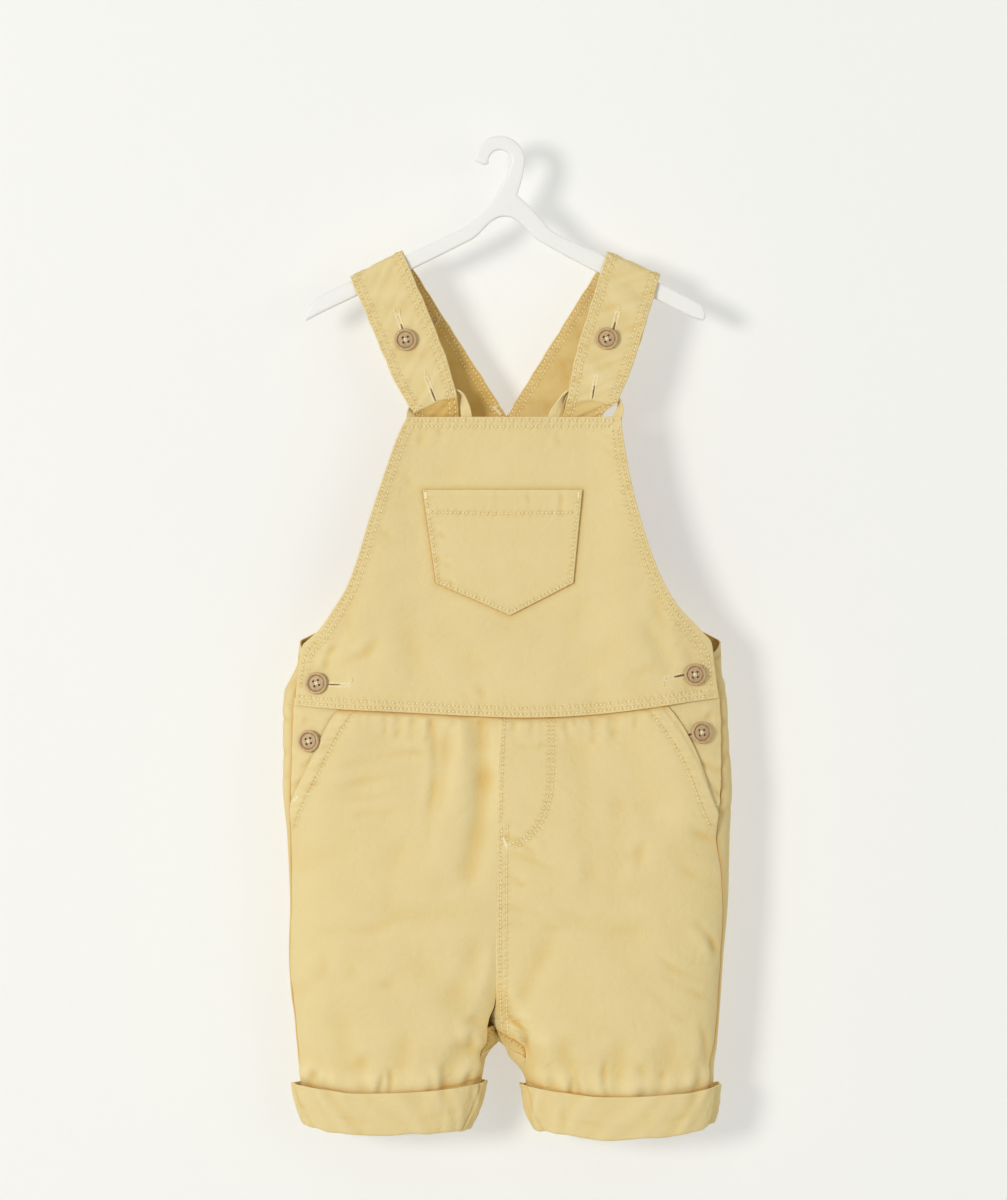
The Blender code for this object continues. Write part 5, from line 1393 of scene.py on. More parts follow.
def cuff_profile(top, foot, flare):
    """A cuff's cut as (out, height) pairs: down its outer face, round its foot, up inside the leg,
    and back up to the upper edge."""
    near_top = CUFF_LOOSE + flare
    near_foot = CUFF_LOOSE + CUFF_FLARE_FOOT
    outer, inner = [], []
    for share in np.linspace(0.0, 1.0, 15):
        out = near_top + (near_foot - near_top) * share + 0.5 * math.sin(math.pi * share)
        height = top + (foot + 1.6 - top) * share
        outer.append((out + CLOTH, height))
        inner.append((out, height + 0.3 * share))
    foot_round = []
    for angle in np.linspace(0.0, math.pi, 8)[1:-1]:
        out = near_foot / 2 + (near_foot / 2 + CLOTH) * math.cos(angle)
        foot_round.append((out, foot + 1.6 - 1.6 * math.sin(angle)))
    inside = [(-CLOTH, foot + 1.8), (-CLOTH, foot + CUFF_TURN), (-0.2, foot + CUFF_TURN), (-0.2, foot + 1.9)]
    lip = [(near_top + out, top + up) for out, up in ((0.2, 0.35), (CLOTH / 2, 0.55), (CLOTH - 0.2, 0.35))]
    return outer + foot_round + inside + inner[-2::-1] + lip


def cuff(side, word):
    turns = np.linspace(-math.pi, math.pi, 181)[:-1]
    probe = form_point(side, np.full(turns.shape, HEM_Z), turns)[:, 0]
    back = smooth_step(0.5 - 3.0 * np.sin(turns))
    top = cuff_edge(side, probe, "top") + 0.5 * ripples(turns * 40.0, 30.0, 1.0 + side) * (0.4 + 0.6 * back)
    foot = cuff_edge(side, probe, "foot") + 0.45 * ripples(turns * 40.0, 24.0, 2.0 + side)
    flare = CUFF_FLARE_INNER + (CUFF_FLARE_OUTER - CUFF_FLARE_INNER) * smooth_step(0.5 + 0.5 * np.cos(turns))
    flare = flare + 0.5 * ripples(turns * 40.0, 17.0, 3.0 + side)
    points, weave, hollow = [], [], []
    for k, turn in enumerate(turns):
        profile = cuff_profile(top[k], foot[k], flare[k])
        for out, height in profile:
            level = np.array([min(height, HEM_Z + 34.0)])
            base = form_point(side, level, np.array([turn]))[0]
            normal = form_normal(side, level, np.array([turn]))[0]
            flat = unit(np.array([normal[0], normal[1], 0.0]))
            wave = 0.4 * float(ripples(turn * 40.0 + 0.6 * height, 15.0, 4.0 + side))
            crease = foot[k] + (top[k] - foot[k]) * (0.42 + 0.08 * math.sin(3.0 * turn))
            wave -= 0.4 * bell(height - crease, 1.3) * (0.6 + 0.4 * math.sin(7.0 * turn + side))
            for fold_turn, slant, deep in CUFF_FOLDS:
                off = turn - fold_turn - slant * (height - foot[k]) / CUFF_TALL
                wave -= deep * bell(off, 0.03)
            points.append((base[0] + flat[0] * (out + wave), base[1] + flat[1] * (out + wave), height))
            # Painted shade in the cuff's folds and creases
            hollow.append(-1.4 * wave)
            weave.append((turn * 42.0, height, 0.0))
    rings, width = len(turns), len(profile)
    index = np.arange(rings * width).reshape(rings, width)
    following = np.roll(index, -1, axis=0)
    faces = np.stack([index, np.roll(index, -1, axis=1), np.roll(following, -1, axis=1), following], axis=-1)
    seam = np.zeros((len(points), 3)) + (0.0, NO_SEAM, 0.0)
    seam[:, 2] = np.tile([CLEAR] * (width - 3) + [0.0] * 3, rings)
    fold = np.zeros(seam.shape) + NO_PAINTED_SHADE
    fold[:, 0] = hollow
    # The reverse's painted shade at the cuff's inner end
    fold[:, 1] = np.repeat(0.22 * smooth_step((turns - 2.68) / 0.1), width)
    faces = faces.reshape(-1, 4).tolist()
    return outward(cloth_object(f"cuff_{word}_cloth", points, faces, seam, weave, fold))


def outward(obj):
    mesh = bmesh.new()
    mesh.from_mesh(obj.data)
    bmesh.ops.recalc_face_normals(mesh, faces=mesh.faces)
    mesh.to_mesh(obj.data)
    mesh.free()
    return obj


# ------ straps and loops


def smooth_course(rows, steps):
    """Rows between those of a course, on a smooth curve, as an array."""
    rows = np.array(rows)
    places = np.linspace(0, len(rows) - 1, (len(rows) - 1) * steps + 1)
    i = np.minimum(places.astype(int), len(rows) - 2)
    t = (places - i)[:, None]
    p, q, r, s = (rows[np.clip(i + k, 0, len(rows) - 1)] for k in (-1, 0, 1, 2))
    return 0.5 * (2 * q + (r - p) * t + (2 * p - 5 * q + 4 * r - s) * t**2 + (3 * q - p - 3 * r + s) * t**3)


STRAP_STEPS = 10


# Where a strap turns under round its loop, in the front view, and how deep the shade is there
TURNS_UNDER = {
    "right": (
        (-58, -168), (-55.2, -166.6), (-49, -163.6), (-41.4, -159.8), (-37.6, -157.8), (-27.6, -156),
        (-22, -155),
    ),
    "left": (
        (38, -157), (42.4, -158.6), (56.6, -158), (62, -158.6), (69, -160.4), (76, -161.5),
    ),
}
SHADE_UNDER = {"right": 1.0, "left": 0.5}
# How much of the reverse's painted shade each strap's inner face has
REVERSE_SHADE_SHARE = {"right": 1.0, "left": 0.52}
STRAP_ROW_OUTER, STRAP_ROW_INNER = 2.0, 5.6
STRAP_WIDE = 36.6


class StrapForm:
    """A strap's faces along its smoothed course."""

    def __init__(self, word, rows, seed):
        self.word, self.seed = word, seed
        course = smooth_course(rows, STRAP_STEPS)
        self.centre, self.half = course[:, :3], course[:, 4] / 2
        tilt = np.radians(course[:, 3])
        self.wide = np.stack([np.cos(tilt), np.zeros(len(tilt)), np.sin(tilt)], axis=1)
        self.thick = unit(np.cross(unit(np.gradient(self.centre, axis=0)), self.wide))
        self.passed = passed_along(self.centre)

    def half_thickness(self, across):
        """Stitch rows draw the strap in, and its edges are folded and full."""
        passed = self.passed[:, None]
        edge = self.half[:, None] - np.abs(across)
        height = STRAP_CLOTH / 2 + 0.14 * bell(edge - 3.8, 1.3)
        for inset in (STRAP_ROW_OUTER, STRAP_ROW_INNER):
            height = height - 0.26 * bell(edge - inset, 0.7)
        height += 0.28 * ripples(passed + 0.6 * across, 5.4, self.seed) * bell(edge - 3.4, 2.8)
        return height * (1 - rolled(edge) * 0.9)

    def bow(self, across):
        passed = self.passed[:, None]
        middle = 1 - (across / self.half[:, None]) ** 2
        wide = 0.5 * ripples(passed + 0.35 * across, 27.0, self.seed + 2.0) * middle
        return wide + 0.30 * ripples(passed - 0.8 * across, 11.0, self.seed + 4.0)

    def points(self, across, face):
        """Points at distances across the strap on one face, and how far they are turned under."""
        sway = 0.35 * ripples(self.passed, 34.0, self.seed)[:, None]
        share = across / self.half[:, None]
        aside = across + 0.25 * ripples(self.passed, 19.0, self.seed + 1.0)[:, None] * share
        out = sway + self.bow(across) + face * self.half_thickness(across)
        points = self.centre[:, None] + self.wide[:, None] * aside[..., None]
        points += self.thick[:, None] * out[..., None]
        line = np.array(TURNS_UNDER[self.word])
        crease = np.interp(points[..., 0], line[:, 0], line[:, 1])
        front = smooth_step((-6.2 - self.centre[:, 1:2]) / 0.8) * smooth_step((-150.0 - points[..., 2]) / 2.0)
        under = smooth_step((crease - points[..., 2]) / 1.1) * front
        points[..., 1] += 1.1 * under
        return points, under


def strap(word, rows, seed):
    form = StrapForm(word, rows, seed)
    across = (spread(STRAP_WIDE, 28) / STRAP_WIDE * 2 - 1) * form.half[:, None]
    inner, _ = form.points(across, 1.0)
    outer, under = form.points(across, -1.0)
    shape = across.shape
    edge = form.half[:, None] - np.abs(across)
    off = np.minimum(np.abs(edge - STRAP_ROW_OUTER), np.abs(edge - STRAP_ROW_INNER))
    passed = np.broadcast_to(form.passed[:, None], shape)
    # Painted shade in the strap's hollows, and the reverse's painted shade where it turns under its loop
    hollow = hollows(form.bow(across))
    deep = under * SHADE_UNDER[word]
    reverse_shade, clear = np.full(shape, REVERSE_SHADE_SHARE[word]), np.full(shape, CLEAR)

    def both(first, second):
        """What the inner face has, and backwards what the outer one has."""
        return np.concatenate([first, second[:, ::-1]], axis=1)

    seam = np.stack([passed, off, np.minimum(edge, CLEAR)], axis=2)
    weave = np.stack([across + 900.0 * seed, passed, np.zeros(shape)], axis=2)
    # The inner face has the reverse's painted shade; the outer face has it where it turns under
    layers = (hollow, reverse_shade, clear), (deep - hollow, 0.8 * deep, clear)
    return outward(cloth_object(
        f"strap_{word}_cloth", both(inner, outer), tube_faces(shape[0], 2 * shape[1]), both(seam, seam),
        both(weave, weave), both(*(np.stack(layer, axis=2) for layer in layers)),
    ))


def strap_loop(word, rows):
    course = smooth_course(rows, 8)
    centre = course[:, :3]
    run = unit(np.gradient(centre, axis=0))
    turn = np.radians(course[:, 3])[:, None]
    back = np.array([0.0, 1.0, 0.0])
    wide = unit(np.cross(run, back)) * np.cos(turn) + back * np.sin(turn)
    wide = unit(wide - run * np.sum(wide * run, axis=1, keepdims=True))
    thick = np.cross(run, wide)
    angles = np.linspace(0, 2 * math.pi, 25)[:-1]
    u, v = (np.sign(w) * np.abs(w) ** 0.55 for w in (np.cos(angles), np.sin(angles)))
    passed, u, none = np.broadcast_arrays(passed_along(centre)[:, None], u, 0.0)
    pinch = 1 - 0.30 * bell(np.abs(u) - 0.62, 0.12)
    across = course[:, 4:5] / 2 * u
    out = course[:, 5:6] / 2 * v * pinch * (1 + 0.10 * ripples(passed, 6.0, 1.0))
    ring = centre[:, None] + wide[:, None] * across[..., None] + thick[:, None] * out[..., None]
    seam = np.stack([passed, none + NO_SEAM, 2 * (1 - np.abs(u))], axis=2)
    weave = np.stack([u * 4 + 700, passed, none], axis=2)
    faces = tube_faces(*u.shape)
    return outward(cloth_object(f"strap_loop_{word}_cloth", ring, faces, seam, weave, seam * 0 + NO_PAINTED_SHADE))


# ------ thread


class Sewing:
    """Collects threads into one mesh."""

    def __init__(self, seed):
        self.points = []
        self.faces = []
        self.chance = random.Random(seed)
        self.count = 0

    def tube(self, places, radius, sides=5):
        """A round thread through places, closed at both ends and drawn thin there."""
        places = np.asarray(places, float)
        run = unit(np.gradient(places, axis=0))
        guide = np.eye(3)[np.argmin(np.abs(run).max(axis=0))]
        first = unit(np.cross(run, guide))
        second = np.cross(run, first)
        taper = np.full(len(places), 1.0)
        taper[0] = taper[-1] = 0.55
        angles = np.linspace(0, 2 * math.pi, sides + 1)[:-1, None]
        circle = first[:, None] * np.cos(angles) + second[:, None] * np.sin(angles)
        ring = places[:, None] + circle * (radius * taper)[:, None, None]
        self.points.append(ring.reshape(-1, 3))
        self.faces += tube_faces(len(places), sides, self.count)
        self.count += len(places) * sides

    def stitch(self, start, end, normal, rise=0.22, radius=0.29):
        """One stitch: it comes up through the cloth, lies on it and goes down again."""
        rise += self.chance.uniform(-0.05, 0.05)
        places = [
            start - normal * 0.25,
            start + (end - start) * 0.22 + normal * rise,
            start + (end - start) * 0.78 + normal * rise,
            end - normal * 0.25,
        ]
        self.tube(places, radius * self.chance.uniform(0.9, 1.08))

    def row(self, places, normals, passed, rise=0.22):
        """Stitches along a dense line on the cloth, one for each stitch length."""
        thread = bpy.context.scene.dungarees_thread
        length, gap = thread.stitch_length, thread.stitch_gap
        for k in range(int(passed[-1] / length)):
            ends = (k * length + gap / 2, (k + 1) * length - gap / 2)
            a, b = (np.array([np.interp(s, passed, places[:, i]) for i in range(3)]) for s in ends)
            middle = (ends[0] + ends[1]) / 2
            normal = np.array([np.interp(middle, passed, normals[:, i]) for i in range(3)])
            jitter = self.chance.uniform(-0.12, 0.12)
            aside = np.cross(normal, b - a)
            aside = aside / max(np.linalg.norm(aside), 1e-6)
            self.stitch(a + aside * jitter, b - aside * jitter, unit(normal), rise)

    def bar(self, start, end, normal, wide, pitch=0.42, radius=0.2, rise=0.35):
        """A bar tack or one lip of a buttonhole: threads side by side across a short line."""
        start, end, normal = (np.asarray(v, float) for v in (start, end, normal))
        run = unit(end - start)
        across = np.cross(normal, run)
        steps = max(2, int(np.linalg.norm(end - start) / pitch))
        for k in range(steps + 1):
            place = start + (end - start) * k / steps
            half = wide / 2 * self.chance.uniform(0.6, 1.4)
            lean = run * self.chance.uniform(-0.3, 0.3)
            self.stitch(place - across * half - lean, place + across * half + lean, normal, rise, radius)

    def made(self, name):
        if not self.points:
            raise RuntimeError(f"{name} has no thread")
        return mesh_object(name, np.concatenate(self.points), self.faces, thread_material())


def cloth_tree(obj):
    """A search tree of a piece's faces, in millimetres."""
    points = [v.co / MM for v in obj.data.vertices]
    return BVHTree.FromPolygons(points, [tuple(p.vertices) for p in obj.data.polygons])


def draped_line(tree, line, origin_y, toward):
    """A dense line on a piece: (x, z) points thrown on it along Y. Returns places, normals and
    distances passed in the front view."""
    line = np.asarray(line, float)
    passed = passed_along(line)
    places, normals, kept = [], [], []
    for s in np.arange(0.0, passed[-1], 0.5):
        x, z = np.interp(s, passed, line[:, 0]), np.interp(s, passed, line[:, 1])
        hit, normal, _, _ = tree.ray_cast(Vector((x, origin_y, z)), Vector((0.0, toward, 0.0)))
        if hit is not None:
            places.append(hit)
            normals.append(normal if normal.y * toward < 0 else -normal)
            kept.append(s)
    return np.array(places), np.array(normals), np.array(kept)


FAR = 200.0


def sew_rows(name, obj, lines, from_behind=False, inside=False, seed=1):
    """Sews rows on a piece, on its outer face and, if asked, on its inner face too."""
    tree = cloth_tree(obj)
    sewing = Sewing(seed)
    toward = -1.0 if from_behind else 1.0
    for line in lines:
        faces = [(-FAR * toward, toward)] + ([(0.0, -toward)] if inside else [])
        for origin, way in faces:
            places, normals, passed = draped_line(tree, line, origin, way)
            if len(places) > 8:
                sewing.row(places, normals, passed)
    return sewing.made(name)


def sew_strap(word, rows, seed):
    """The double rows along both edges of a strap, on both its faces."""
    form = StrapForm(word, rows, seed)
    sewing = Sewing(int(seed) + 20)
    for face, rise in ((1.0, 0.08), (-1.0, 0.22)):
        for edge in (1.0, -1.0):
            for inset in (STRAP_ROW_OUTER, STRAP_ROW_INNER):
                places, _ = form.points((edge * (form.half - inset))[:, None], face)
                sewing.row(places[:, 0], form.thick * face, form.passed, rise)
    return sewing.made(f"strap_{word}_topstitch")


SLIT_ROWS = 9
# Buttonholes: where the lips run, in the front view, and how far apart they gape
BUTTONHOLES = table(
    "piece x0 z0 x1 z1 gape",
    ("strap_right_cloth", -64.2, -104.6, -59.8, -117, 0.7),
    ("strap_right_cloth", -46.2, -144, -40.4, -158.6, 0.6), ("strap_left_cloth", 74, -103, 70.6, -116, 0.8),
    ("strap_left_cloth", 60.6, -142.4, 58, -157, 0.5), ("bib_cloth", -94.6, -336.6, -107.2, -336.4, 0.5),
    ("bib_cloth", 103.6, -332.8, 115.6, -330.4, 1),
    ("pocket_facing_left_cloth", 113.4, -369.6, 120, -367.6, 1),
    ("pocket_facing_right_cloth", -111.6, -371.4, -115, -371.8, 0.8),
)
# Bar tacks where seams end, in the front view, with the length of their threads
TACKS = table(
    "piece x0 z0 x1 z1 wide",
    ("front_leg_right_cloth", -126.4, -406.4, -129.4, -410, 1.8),
    ("pocket_facing_left_cloth", 133.4, -411.6, 136.4, -412.2, 1.6),
    ("front_leg_left_cloth", 2.2, -432, 4.6, -438.4, 1.8),
    ("bib_pocket_cloth", -46.6, -216, -46.4, -219.6, 1.6),
    ("bib_pocket_cloth", 49.4, -216, 49.2, -219.6, 1.6),
    ("strap_right_cloth", -4, -161.4, 0.6, -166.6, 2.2),
)
# Loose thread ends, in the front view, from their root
TAILS = table(
    "piece x0 z0 x1 z1 x2 z2",
    ("strap_right_cloth", -64.2, -104.6, -66.6, -102, -65.6, -100.2),
    ("strap_right_cloth", -64, -105, -62.6, -102.6, -63.6, -100.6),
    ("strap_right_cloth", -46.2, -144, -47.6, -141, -46, -139.6),
    ("strap_left_cloth", 74, -103, 75.4, -100.4, 74.2, -98.6),
    ("bib_cloth", -94.6, -336.6, -92.4, -333.8, -93.6, -331.6),
    ("bib_cloth", 103.6, -332.8, 101.8, -335, 102.8, -337),
    ("strap_right_cloth", -40.6, -102.4, -38.8, -106, -41, -110),
    ("strap_right_cloth", -41, -110, -38.6, -108, -37.4, -103),
    ("strap_right_cloth", -3, -161, -0.4, -160.2, 1, -163.4),
    ("strap_left_cloth", 8.6, -161, 6, -164.6, 8, -167),
    ("front_leg_left_cloth", 1.6, -455, 0.2, -458.4, 1.4, -462),
)


def buttonholes():
    """Whip-stitched lips with a sheet of painted shade for the slit between them, bar-tacked at both ends."""
    sewing = Sewing(5)
    pieces = {row.piece for rows in (BUTTONHOLES, TACKS, TAILS) for row in rows}
    trees = {piece: cloth_tree(bpy.data.objects[piece]) for piece in sorted(pieces)}

    def on(piece, x, z, rise=0.0):
        hit, normal, _, _ = trees[piece].ray_cast(Vector((x, -FAR, z)), Vector((0.0, 1.0, 0.0)))
        if hit is None:
            raise RuntimeError(f"no cloth of {piece} at {x:.1f}, {z:.1f}")
        normal = np.array(normal if normal.y < 0 else -normal)
        return np.array(hit) + normal * rise, normal

    points, faces = [], []
    for row in BUTTONHOLES:
        start, way = np.array([row.x0, row.z0]), np.array([row.x1 - row.x0, row.z1 - row.z0])
        run = way / np.linalg.norm(way)
        side = np.array([-run[1], run[0]])
        for lip in (-1.0, 1.0):
            gap = side * lip * (row.gape * 0.5 + 0.75)
            ends = [on(row.piece, *(start + way * k / 5 + gap)) for k in range(6)]
            for (first, normal), (last, _) in zip(ends, ends[1:]):
                sewing.bar(first, last, normal, 1.15, pitch=0.5, radius=0.27, rise=0.1)
        first, normal = on(row.piece, *(start - run * 0.4))
        across = np.array([side[0], 0.0, side[1]]) * 1.3
        sewing.bar(first - across, first + across, normal, 1.4, pitch=0.5, radius=0.28, rise=0.1)
        for share in np.linspace(0, 1, SLIT_ROWS):
            half = row.gape * 0.5 * math.sin(math.pi * (0.1 + 0.7 * share)) + 0.15
            middle = start + way * (0.45 + 0.55 * share)
            for lip, rise in ((-1.0, 0.14), (0.0, 0.06), (1.0, 0.14)):
                points.append(on(row.piece, *(middle + side * half * lip), rise)[0])
        faces += grid_faces(SLIT_ROWS, 3, len(points) - 3 * SLIT_ROWS).tolist()
    for row in TACKS:
        (first, normal), (last, _) = on(row.piece, row.x0, row.z0), on(row.piece, row.x1, row.z1)
        sewing.bar(first, last, normal, row.wide, pitch=0.5, radius=0.3, rise=0.12)
    for row in TAILS:
        bends = ((row.x0, row.z0, 0.1), (row.x1, row.z1, 0.4), (row.x2, row.z2, 0.3))
        places = np.array([on(row.piece, *bend)[0] for bend in bends])
        fine = np.array([np.interp(np.linspace(0, 2, 9), (0, 1, 2), column) for column in places.T]).T
        fine[1:-1] = (fine[:-2] + fine[1:-1] * 2 + fine[2:]) / 4
        sewing.tube(fine, 0.28)
    threads = sewing.made("buttonhole_thread")
    return threads, mesh_object("buttonhole_slits", points, faces, slit_shade_material())


def slit_shade_material():
    """The shaded cloth that shows inside an open buttonhole."""
    nodes = Nodes("buttonhole_shade")
    tone = nodes.noise(nodes.place(), 1500.0, detail=2.0)
    colour = nodes.mix(tone, (0.17, 0.085, 0.02, 1), (0.29, 0.16, 0.045, 1))
    return nodes.finish(Base_Color=colour, Roughness=0.95)


# ------ buttons and hanger

BUTTON_THICK = 2.6
BUTTON_SIDES, BUTTON_STRANDS = 64, 3
HOLE_RADIUS = 0.8
HOLE_SPACING = 2.2
# Radii of the painted highlight on the rim and the painted shade in the groove
RIM_RADIUS, GROOVE_RADIUS = 6.15, 5.0


BUTTON_PROFILE = (
    (5.4, 0), (6.2, 0.25), (6.8, 0.9), (7, 1.4), (6.85, 2.05), (6.5, 2.45), (6.1, 2.6), (5.7, 2.55),
    (5.35, 2.25), (5.1, 1.75), (4.9, 1.6), (4.6, 1.75), (4.3, 1.9), (3.9, 1.95), (3.3, 1.9),
)


def mesh_data(mesh, name):
    """Mesh data in metres from a mesh in millimetres."""
    bmesh.ops.scale(mesh, vec=(MM, MM, MM), verts=mesh.verts)
    data = bpy.data.meshes.new(name)
    mesh.to_mesh(data)
    mesh.free()
    return data


def button_mesh():
    """A turned four-hole button, its back at the origin and its face towards +Z."""
    mesh = bmesh.new()
    angles = [2 * math.pi * k / BUTTON_SIDES for k in range(BUTTON_SIDES)]
    rings = [
        [mesh.verts.new((radius * math.cos(a), radius * math.sin(a), height)) for a in angles]
        for radius, height in BUTTON_PROFILE
    ]
    for a, b in zip(rings, rings[1:]):
        for k in range(BUTTON_SIDES):
            following = (k + 1) % BUTTON_SIDES
            mesh.faces.new((a[k], a[following], b[following], b[k]))
    mesh.faces.new(rings[0][::-1])
    mesh.faces.new(rings[-1])
    bmesh.ops.recalc_face_normals(mesh, faces=mesh.faces)
    blank = placed("button_blank", mesh_data(mesh, "button_blank"))
    drill = bmesh.new()
    for k in range(4):
        angle = math.pi / 4 + k * math.pi / 2
        made = bmesh.ops.create_cone(
            drill, cap_ends=True, segments=20, radius1=HOLE_RADIUS, radius2=HOLE_RADIUS, depth=12
        )
        offset = Vector((math.cos(angle), math.sin(angle), 0)) * HOLE_SPACING
        bmesh.ops.translate(drill, vec=offset, verts=made["verts"])
    cutter = placed("button_drill", mesh_data(drill, "button_drill"))
    cut = blank.modifiers.new("holes", "BOOLEAN")
    cut.operation = "DIFFERENCE"
    cut.object = cutter
    ready = blank.evaluated_get(bpy.context.evaluated_depsgraph_get())
    result = bpy.data.meshes.new_from_object(ready)
    for obj in (blank, cutter):
        bpy.data.objects.remove(obj)
    result.shade_smooth()
    result.set_sharp_from_angle(angle=math.radians(42))
    return result


def node_axes(name):
    """Centre of a button's solid and its outward axis: the thin way of its points."""
    points = np.array([v.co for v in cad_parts[name].data.vertices], float)
    centre = (points.min(0) + points.max(0)) / 2
    _, _, ways = np.linalg.svd(points - points.mean(0))
    axis = ways[2] if ways[2][1] < 0 else -ways[2]
    return Vector(centre), Vector(axis)


BUTTONS = table(
    "node spin",
    ("button_strap_right", 10), ("button_strap_left", 20), ("button_bib_right", 15),
    ("button_bib_left", 5), ("button_hip_right", 12), ("button_hip_left", 4),
)


def button(row, mesh):
    centre, axis = node_axes(row.node)
    obj = placed(f"{row.node}_wood", mesh.copy())
    obj.data.materials.clear()
    obj.data.materials.append(wood_material())
    obj.rotation_mode = "QUATERNION"
    turned = axis.to_track_quat("Z", "Y") @ Quaternion((0, 0, 1), math.radians(row.spin))
    obj.rotation_quaternion = turned
    obj.location = centre - axis * BUTTON_THICK / 2 * MM
    sewing = Sewing(int(row.spin) + 3)
    reach = HOLE_SPACING * 0.47
    for first, second in (((1, 1), (-1, -1)), ((1, -1), (-1, 1))):
        for k in range(BUTTON_STRANDS):
            aside = (k - (BUTTON_STRANDS - 1) / 2) * 0.3
            a = Vector((first[0] * reach - aside * first[1], first[1] * reach + aside * first[0], 0))
            b = Vector((second[0] * reach + aside * second[1], second[1] * reach - aside * second[0], 0))
            lift = 2.15 + 0.12 * k * (1 if first[1] > 0 else 1.6)
            near = lift - 0.25
            bends = ((a, 0.6), (a * 0.86, near), (a * 0, lift + 0.15), (b * 0.86, near), (b, 0.6))
            path = [turned.to_matrix() @ (flat + Vector((0, 0, up))) for flat, up in bends]
            sewing.tube([place + obj.location / MM for place in path], 0.24)
    return obj, sewing.made(f"{row.node}_thread")


RIGHT_ARM_TOP = (
    (-4.6, -32), (-10, -39), (-19, -47), (-35.6, -55.4), (-60, -66.8), (-94.5, -83), (-112, -91.6),
    (-118.6, -97), (-123.6, -106.4),
)
RIGHT_ARM_FOOT = (
    (-121.8, -107.6), (-112, -102.4), (-90, -91.8), (-55.5, -75.2), (-22.5, -58.9), (-14.5, -54),
    (-5, -44.8),
)
LEFT_ARM_FOOT = (
    (2.8, -42), (10.6, -44.4), (20.2, -53.5), (28, -59.3), (59.7, -76.2), (98, -94), (118, -104),
    (127.6, -107.6),
)
LEFT_ARM_TOP = (
    (129.4, -106), (128.6, -101), (124.6, -96.4), (101, -84.2), (67.4, -67.5), (49.1, -59.3), (33.7, -51.6),
    (26, -43.8), (18.3, -35.2), (10.8, -28.6),
)
HANGER_THICK = 7.0
HANGER_BEVEL = 1.5
HOOK_SEAT_RADIUS = 7.1
HOOK_RADIUS = 15.8


def hanger_outline():
    """The board's edge, once round, with its curves rounded finely."""

    def circle(radius, degrees):
        angle = np.radians(degrees)
        return list(zip(radius * np.cos(angle), radius * np.sin(angle) - HOOK_SEAT_RADIUS))

    runs = [
        (RIGHT_ARM_TOP, True),
        (RIGHT_ARM_FOOT + LEFT_ARM_FOOT, True),
        (LEFT_ARM_TOP, True),
        ([(14.4, -17.0)] + circle(HOOK_RADIUS, np.arange(-10, 171, 4.0)), False),
        ([(-16.0, -6.8), (-9.6, -9.6)], False),
        (circle(HOOK_SEAT_RADIUS, np.arange(190, -31, -6.0)) + [(5.0, -15.0), (1.0, -23.0)], False),
    ]
    points = []
    for run, smooth in runs:
        run = np.array(run)
        points += (smooth_course([tuple(p) for p in run], 5) if smooth else run).tolist()
    return points


def hanger():
    mesh = bmesh.new()
    half = HANGER_THICK / 2
    face = mesh.faces.new([mesh.verts.new((x, -half, z)) for x, z in hanger_outline()])
    made = bmesh.ops.extrude_face_region(mesh, geom=[face])
    moved = [v for v in made["geom"] if isinstance(v, bmesh.types.BMVert)]
    bmesh.ops.translate(mesh, vec=(0, HANGER_THICK, 0), verts=moved)
    rims = [e for e in mesh.edges if abs(e.verts[0].co.y - e.verts[1].co.y) < 0.01]
    bmesh.ops.bevel(mesh, geom=rims, offset=HANGER_BEVEL, segments=4, profile=0.6, affect="EDGES")
    bmesh.ops.triangulate(mesh, faces=[f for f in mesh.faces if len(f.verts) > 4])
    bmesh.ops.recalc_face_normals(mesh, faces=mesh.faces)
    data = mesh_data(mesh, "hanger_board")
    data.shade_smooth()
    data.set_sharp_from_angle(angle=math.radians(40))
    data.materials.append(plastic_material())
    return placed("hanger_board", data)


# ------ camera, light and stage

IMAGE_SIZE = (1007, 1200)
IMAGE_SCALE = 0.63
HOOK_PIXEL = (500.0, 150.0)


def camera():
    """Looks straight along +Y, so that one pixel of the picture is 0.63 mm at the garment."""
    stage = bpy.context.scene.dungarees_stage
    data = bpy.data.cameras.new("camera")
    data.sensor_fit = "AUTO"
    data.lens = data.sensor_width * stage.distance / (IMAGE_SIZE[1] * IMAGE_SCALE)
    data.clip_end = 50.0
    obj = placed("camera", data)
    x = (IMAGE_SIZE[0] / 2 - HOOK_PIXEL[0]) * IMAGE_SCALE
    z = -(IMAGE_SIZE[1] / 2 - HOOK_PIXEL[1]) * IMAGE_SCALE
    obj.location = Vector((x, -stage.distance, z)) * MM
    obj.rotation_euler = (math.radians(90), 0.0, 0.0)
    bpy.context.scene.camera = obj


LAMPS = table(
    "name x y z size power",
    ("key", -2700, -4100, 150, 1300, 122), ("fill", 2400, -3800, 100, 2600, 21),
    ("back", 900, 2400, 600, 1600, 27),
)
LAMPS_AIM = (0.0, 0.0, -330.0)


def lamps():
    stage = bpy.context.scene.dungarees_stage
    for row in LAMPS:
        data = bpy.data.lights.new(row.name, "AREA")
        data.shape = "DISK"
        data.size = row.size * MM
        data.energy = row.power * stage.light
        obj = placed(row.name, data)
        obj.location = Vector((row.x, row.y, row.z)) * MM
        way = Vector(LAMPS_AIM) * MM - obj.location
        obj.rotation_euler = way.to_track_quat("-Z", "Y").to_euler()


def sky():
    stage = bpy.context.scene.dungarees_stage
    world = bpy.data.worlds.new("studio")
    bpy.context.scene.world = world
    world.use_nodes = True
    background = world.node_tree.nodes["Background"]
    background.inputs["Color"].default_value = tuple(stage.sky_colour) + (1.0,)
    background.inputs["Strength"].default_value = stage.sky


